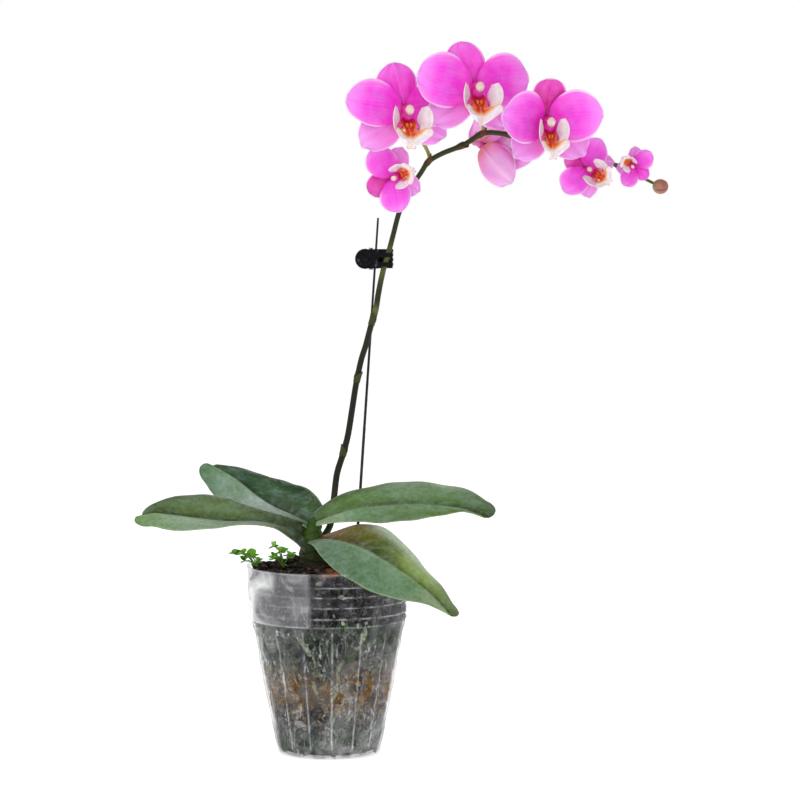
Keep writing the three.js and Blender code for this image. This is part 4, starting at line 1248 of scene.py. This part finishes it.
def make_clip():
    turn = np.linspace(0, 2 * np.pi, 41)
    for node, body, side in JAWS:
        stand_in(node + "_moulding", moulded(node), node, body)
        grip = Piece("black_plastic")  # two rings and twelve knobs on the thumb disc
        hinge = Matrix.Translation((*PIN, (CLIP_LOW + CLIP_HIGH) / 2))
        matrix = spun(hinge, ("Z", -math.radians(14) * side)) @ Matrix.Translation((-5.6, 3.75 * side, 0))
        for radius, wire in ((6.6, 0.42), (3.1, 0.36)):
            ring = np.stack([radius * np.cos(turn), 0.78 * side + 0 * turn, radius * np.sin(turn)], 1)
            grip.add(tube(ring, wire, 8), matrix=matrix)
        for a in np.radians(range(0, 360, 30)):
            centre = (4.9 * math.cos(a), 0.72 * side, 4.9 * math.sin(a))
            grip.add(ball(centre, (0.62, 0.4, 0.62), 7, 10), matrix=matrix)
        grip.make(node + "_grip", "clip", node, body)

    pin, head = Piece("steel"), [(0, -0.6), (1.4, -0.6), (1.7, -0.3), (1.7, 0.2), (0.9, 0.25)]
    rod = [(r, CLIP_LOW + z) for r, z in head] + [(r, CLIP_HIGH - z) for r, z in head[::-1]]
    pin.add(turned(rod, 32), matrix=Matrix.Translation((*PIN, 0)))
    pin.make("clip_pin_rod", "clip_metal", "clip_pin")
    spring, t = Piece("steel"), np.linspace(0, 1, 161)
    coil = [PIN[0] + 1.75 * np.cos(8 * np.pi * t), PIN[1] + 1.75 * np.sin(8 * np.pi * t), 365.4 + 3.2 * t]
    spring.add(tube(np.stack(coil, 1), 0.3, 10))
    spring.make("clip_spring_coil", "clip_metal", "clip_spring")


# ---- Seedlings ----

# A foot, and for each shoot where it ends, how far its middle is raised and the size of its leaflets.
SEEDLINGS = {
    "seedling_outer": ([-53, -14, 138.8], [
        ([-68.5, -16, 149.5], 5, 3.4), ([-62.5, -17, 150], 3, 3.8), ([-56, -18, 147.5], 2, 4.4),
        ([-61.5, -18, 144.8], 2, 3.6), ([-52, -22, 144], 0, 3.6),
    ]),
    "seedling_inner": ([-33, -22, 140.6], [
        ([-40, -24, 156], 6, 3.2), ([-34.5, -26, 152.5], 2, 4.4), ([-39, -27, 147.5], 2, 4.2),
        ([-28, -26, 149.5], 1, 3.8),
    ]),
}


def leaflet(radius, cup):
    """A rounded, cupped leaf blade that grows from the origin along +X."""
    t, v = span(12, 9)
    half = radius * 0.62 * np.sin(np.pi * np.clip(t, 0.02, 0.98) ** 1.25) ** 0.6
    x = radius * 1.25 * t * (1 - 0.1 * v * v)
    lift = cup * (half * v * v + 0.35 * radius * t * t)
    return slab(np.stack([x, v * half, lift], -1), 0.32, (t, (v + 1) / 2))


def make_seedlings():
    for name, (foot, shoots) in SEEDLINGS.items():
        plant = Piece("leaf", "stem")
        for end, rise, size in shoots:
            middle = (np.array(foot) + np.array(end)) / 2 + np.array([0, 0, rise])
            plant.add(tube(path([foot, middle, end], 24), np.linspace(0.6, 0.4, 24), 8), lin(96, 140, 44), 1)
            spin = random.uniform(0, 360)
            for k in range(5):
                bearing = math.radians(spin + 72 * k + random.uniform(-14, 14))
                tip = math.radians(random.uniform(-60, 30))
                roll = random.uniform(-0.5, 0.5)
                turn = spun(Matrix.Translation(end), ("Z", bearing), ("Y", tip), ("X", roll))
                shade = lin(128, 196, 36) * random.uniform(0.5, 1.2)
                blade = leaflet(size * random.uniform(1.0, 1.3), random.uniform(0.2, 0.5))
                plant.add(blade, shade, 0, turn)
        plant.make(name + "_plant", "seedling", name)


# ---- Scene ----

make_stage()
for make_shader in (petal_shader, lip_shader, leaf_shader, stem_shader, root_shader, bark_shader, moss_shader,
                    pot_shader, plastic_shader, wire_shader, steel_shader, bud_shader):
    make_shader()
make_pot()
make_pot_floor()
make_bark()
make_stem()
make_leaves()
make_spike()
make_bud()
make_stake()
make_clip()
make_seedlings()

bpy.context.view_layer.update()
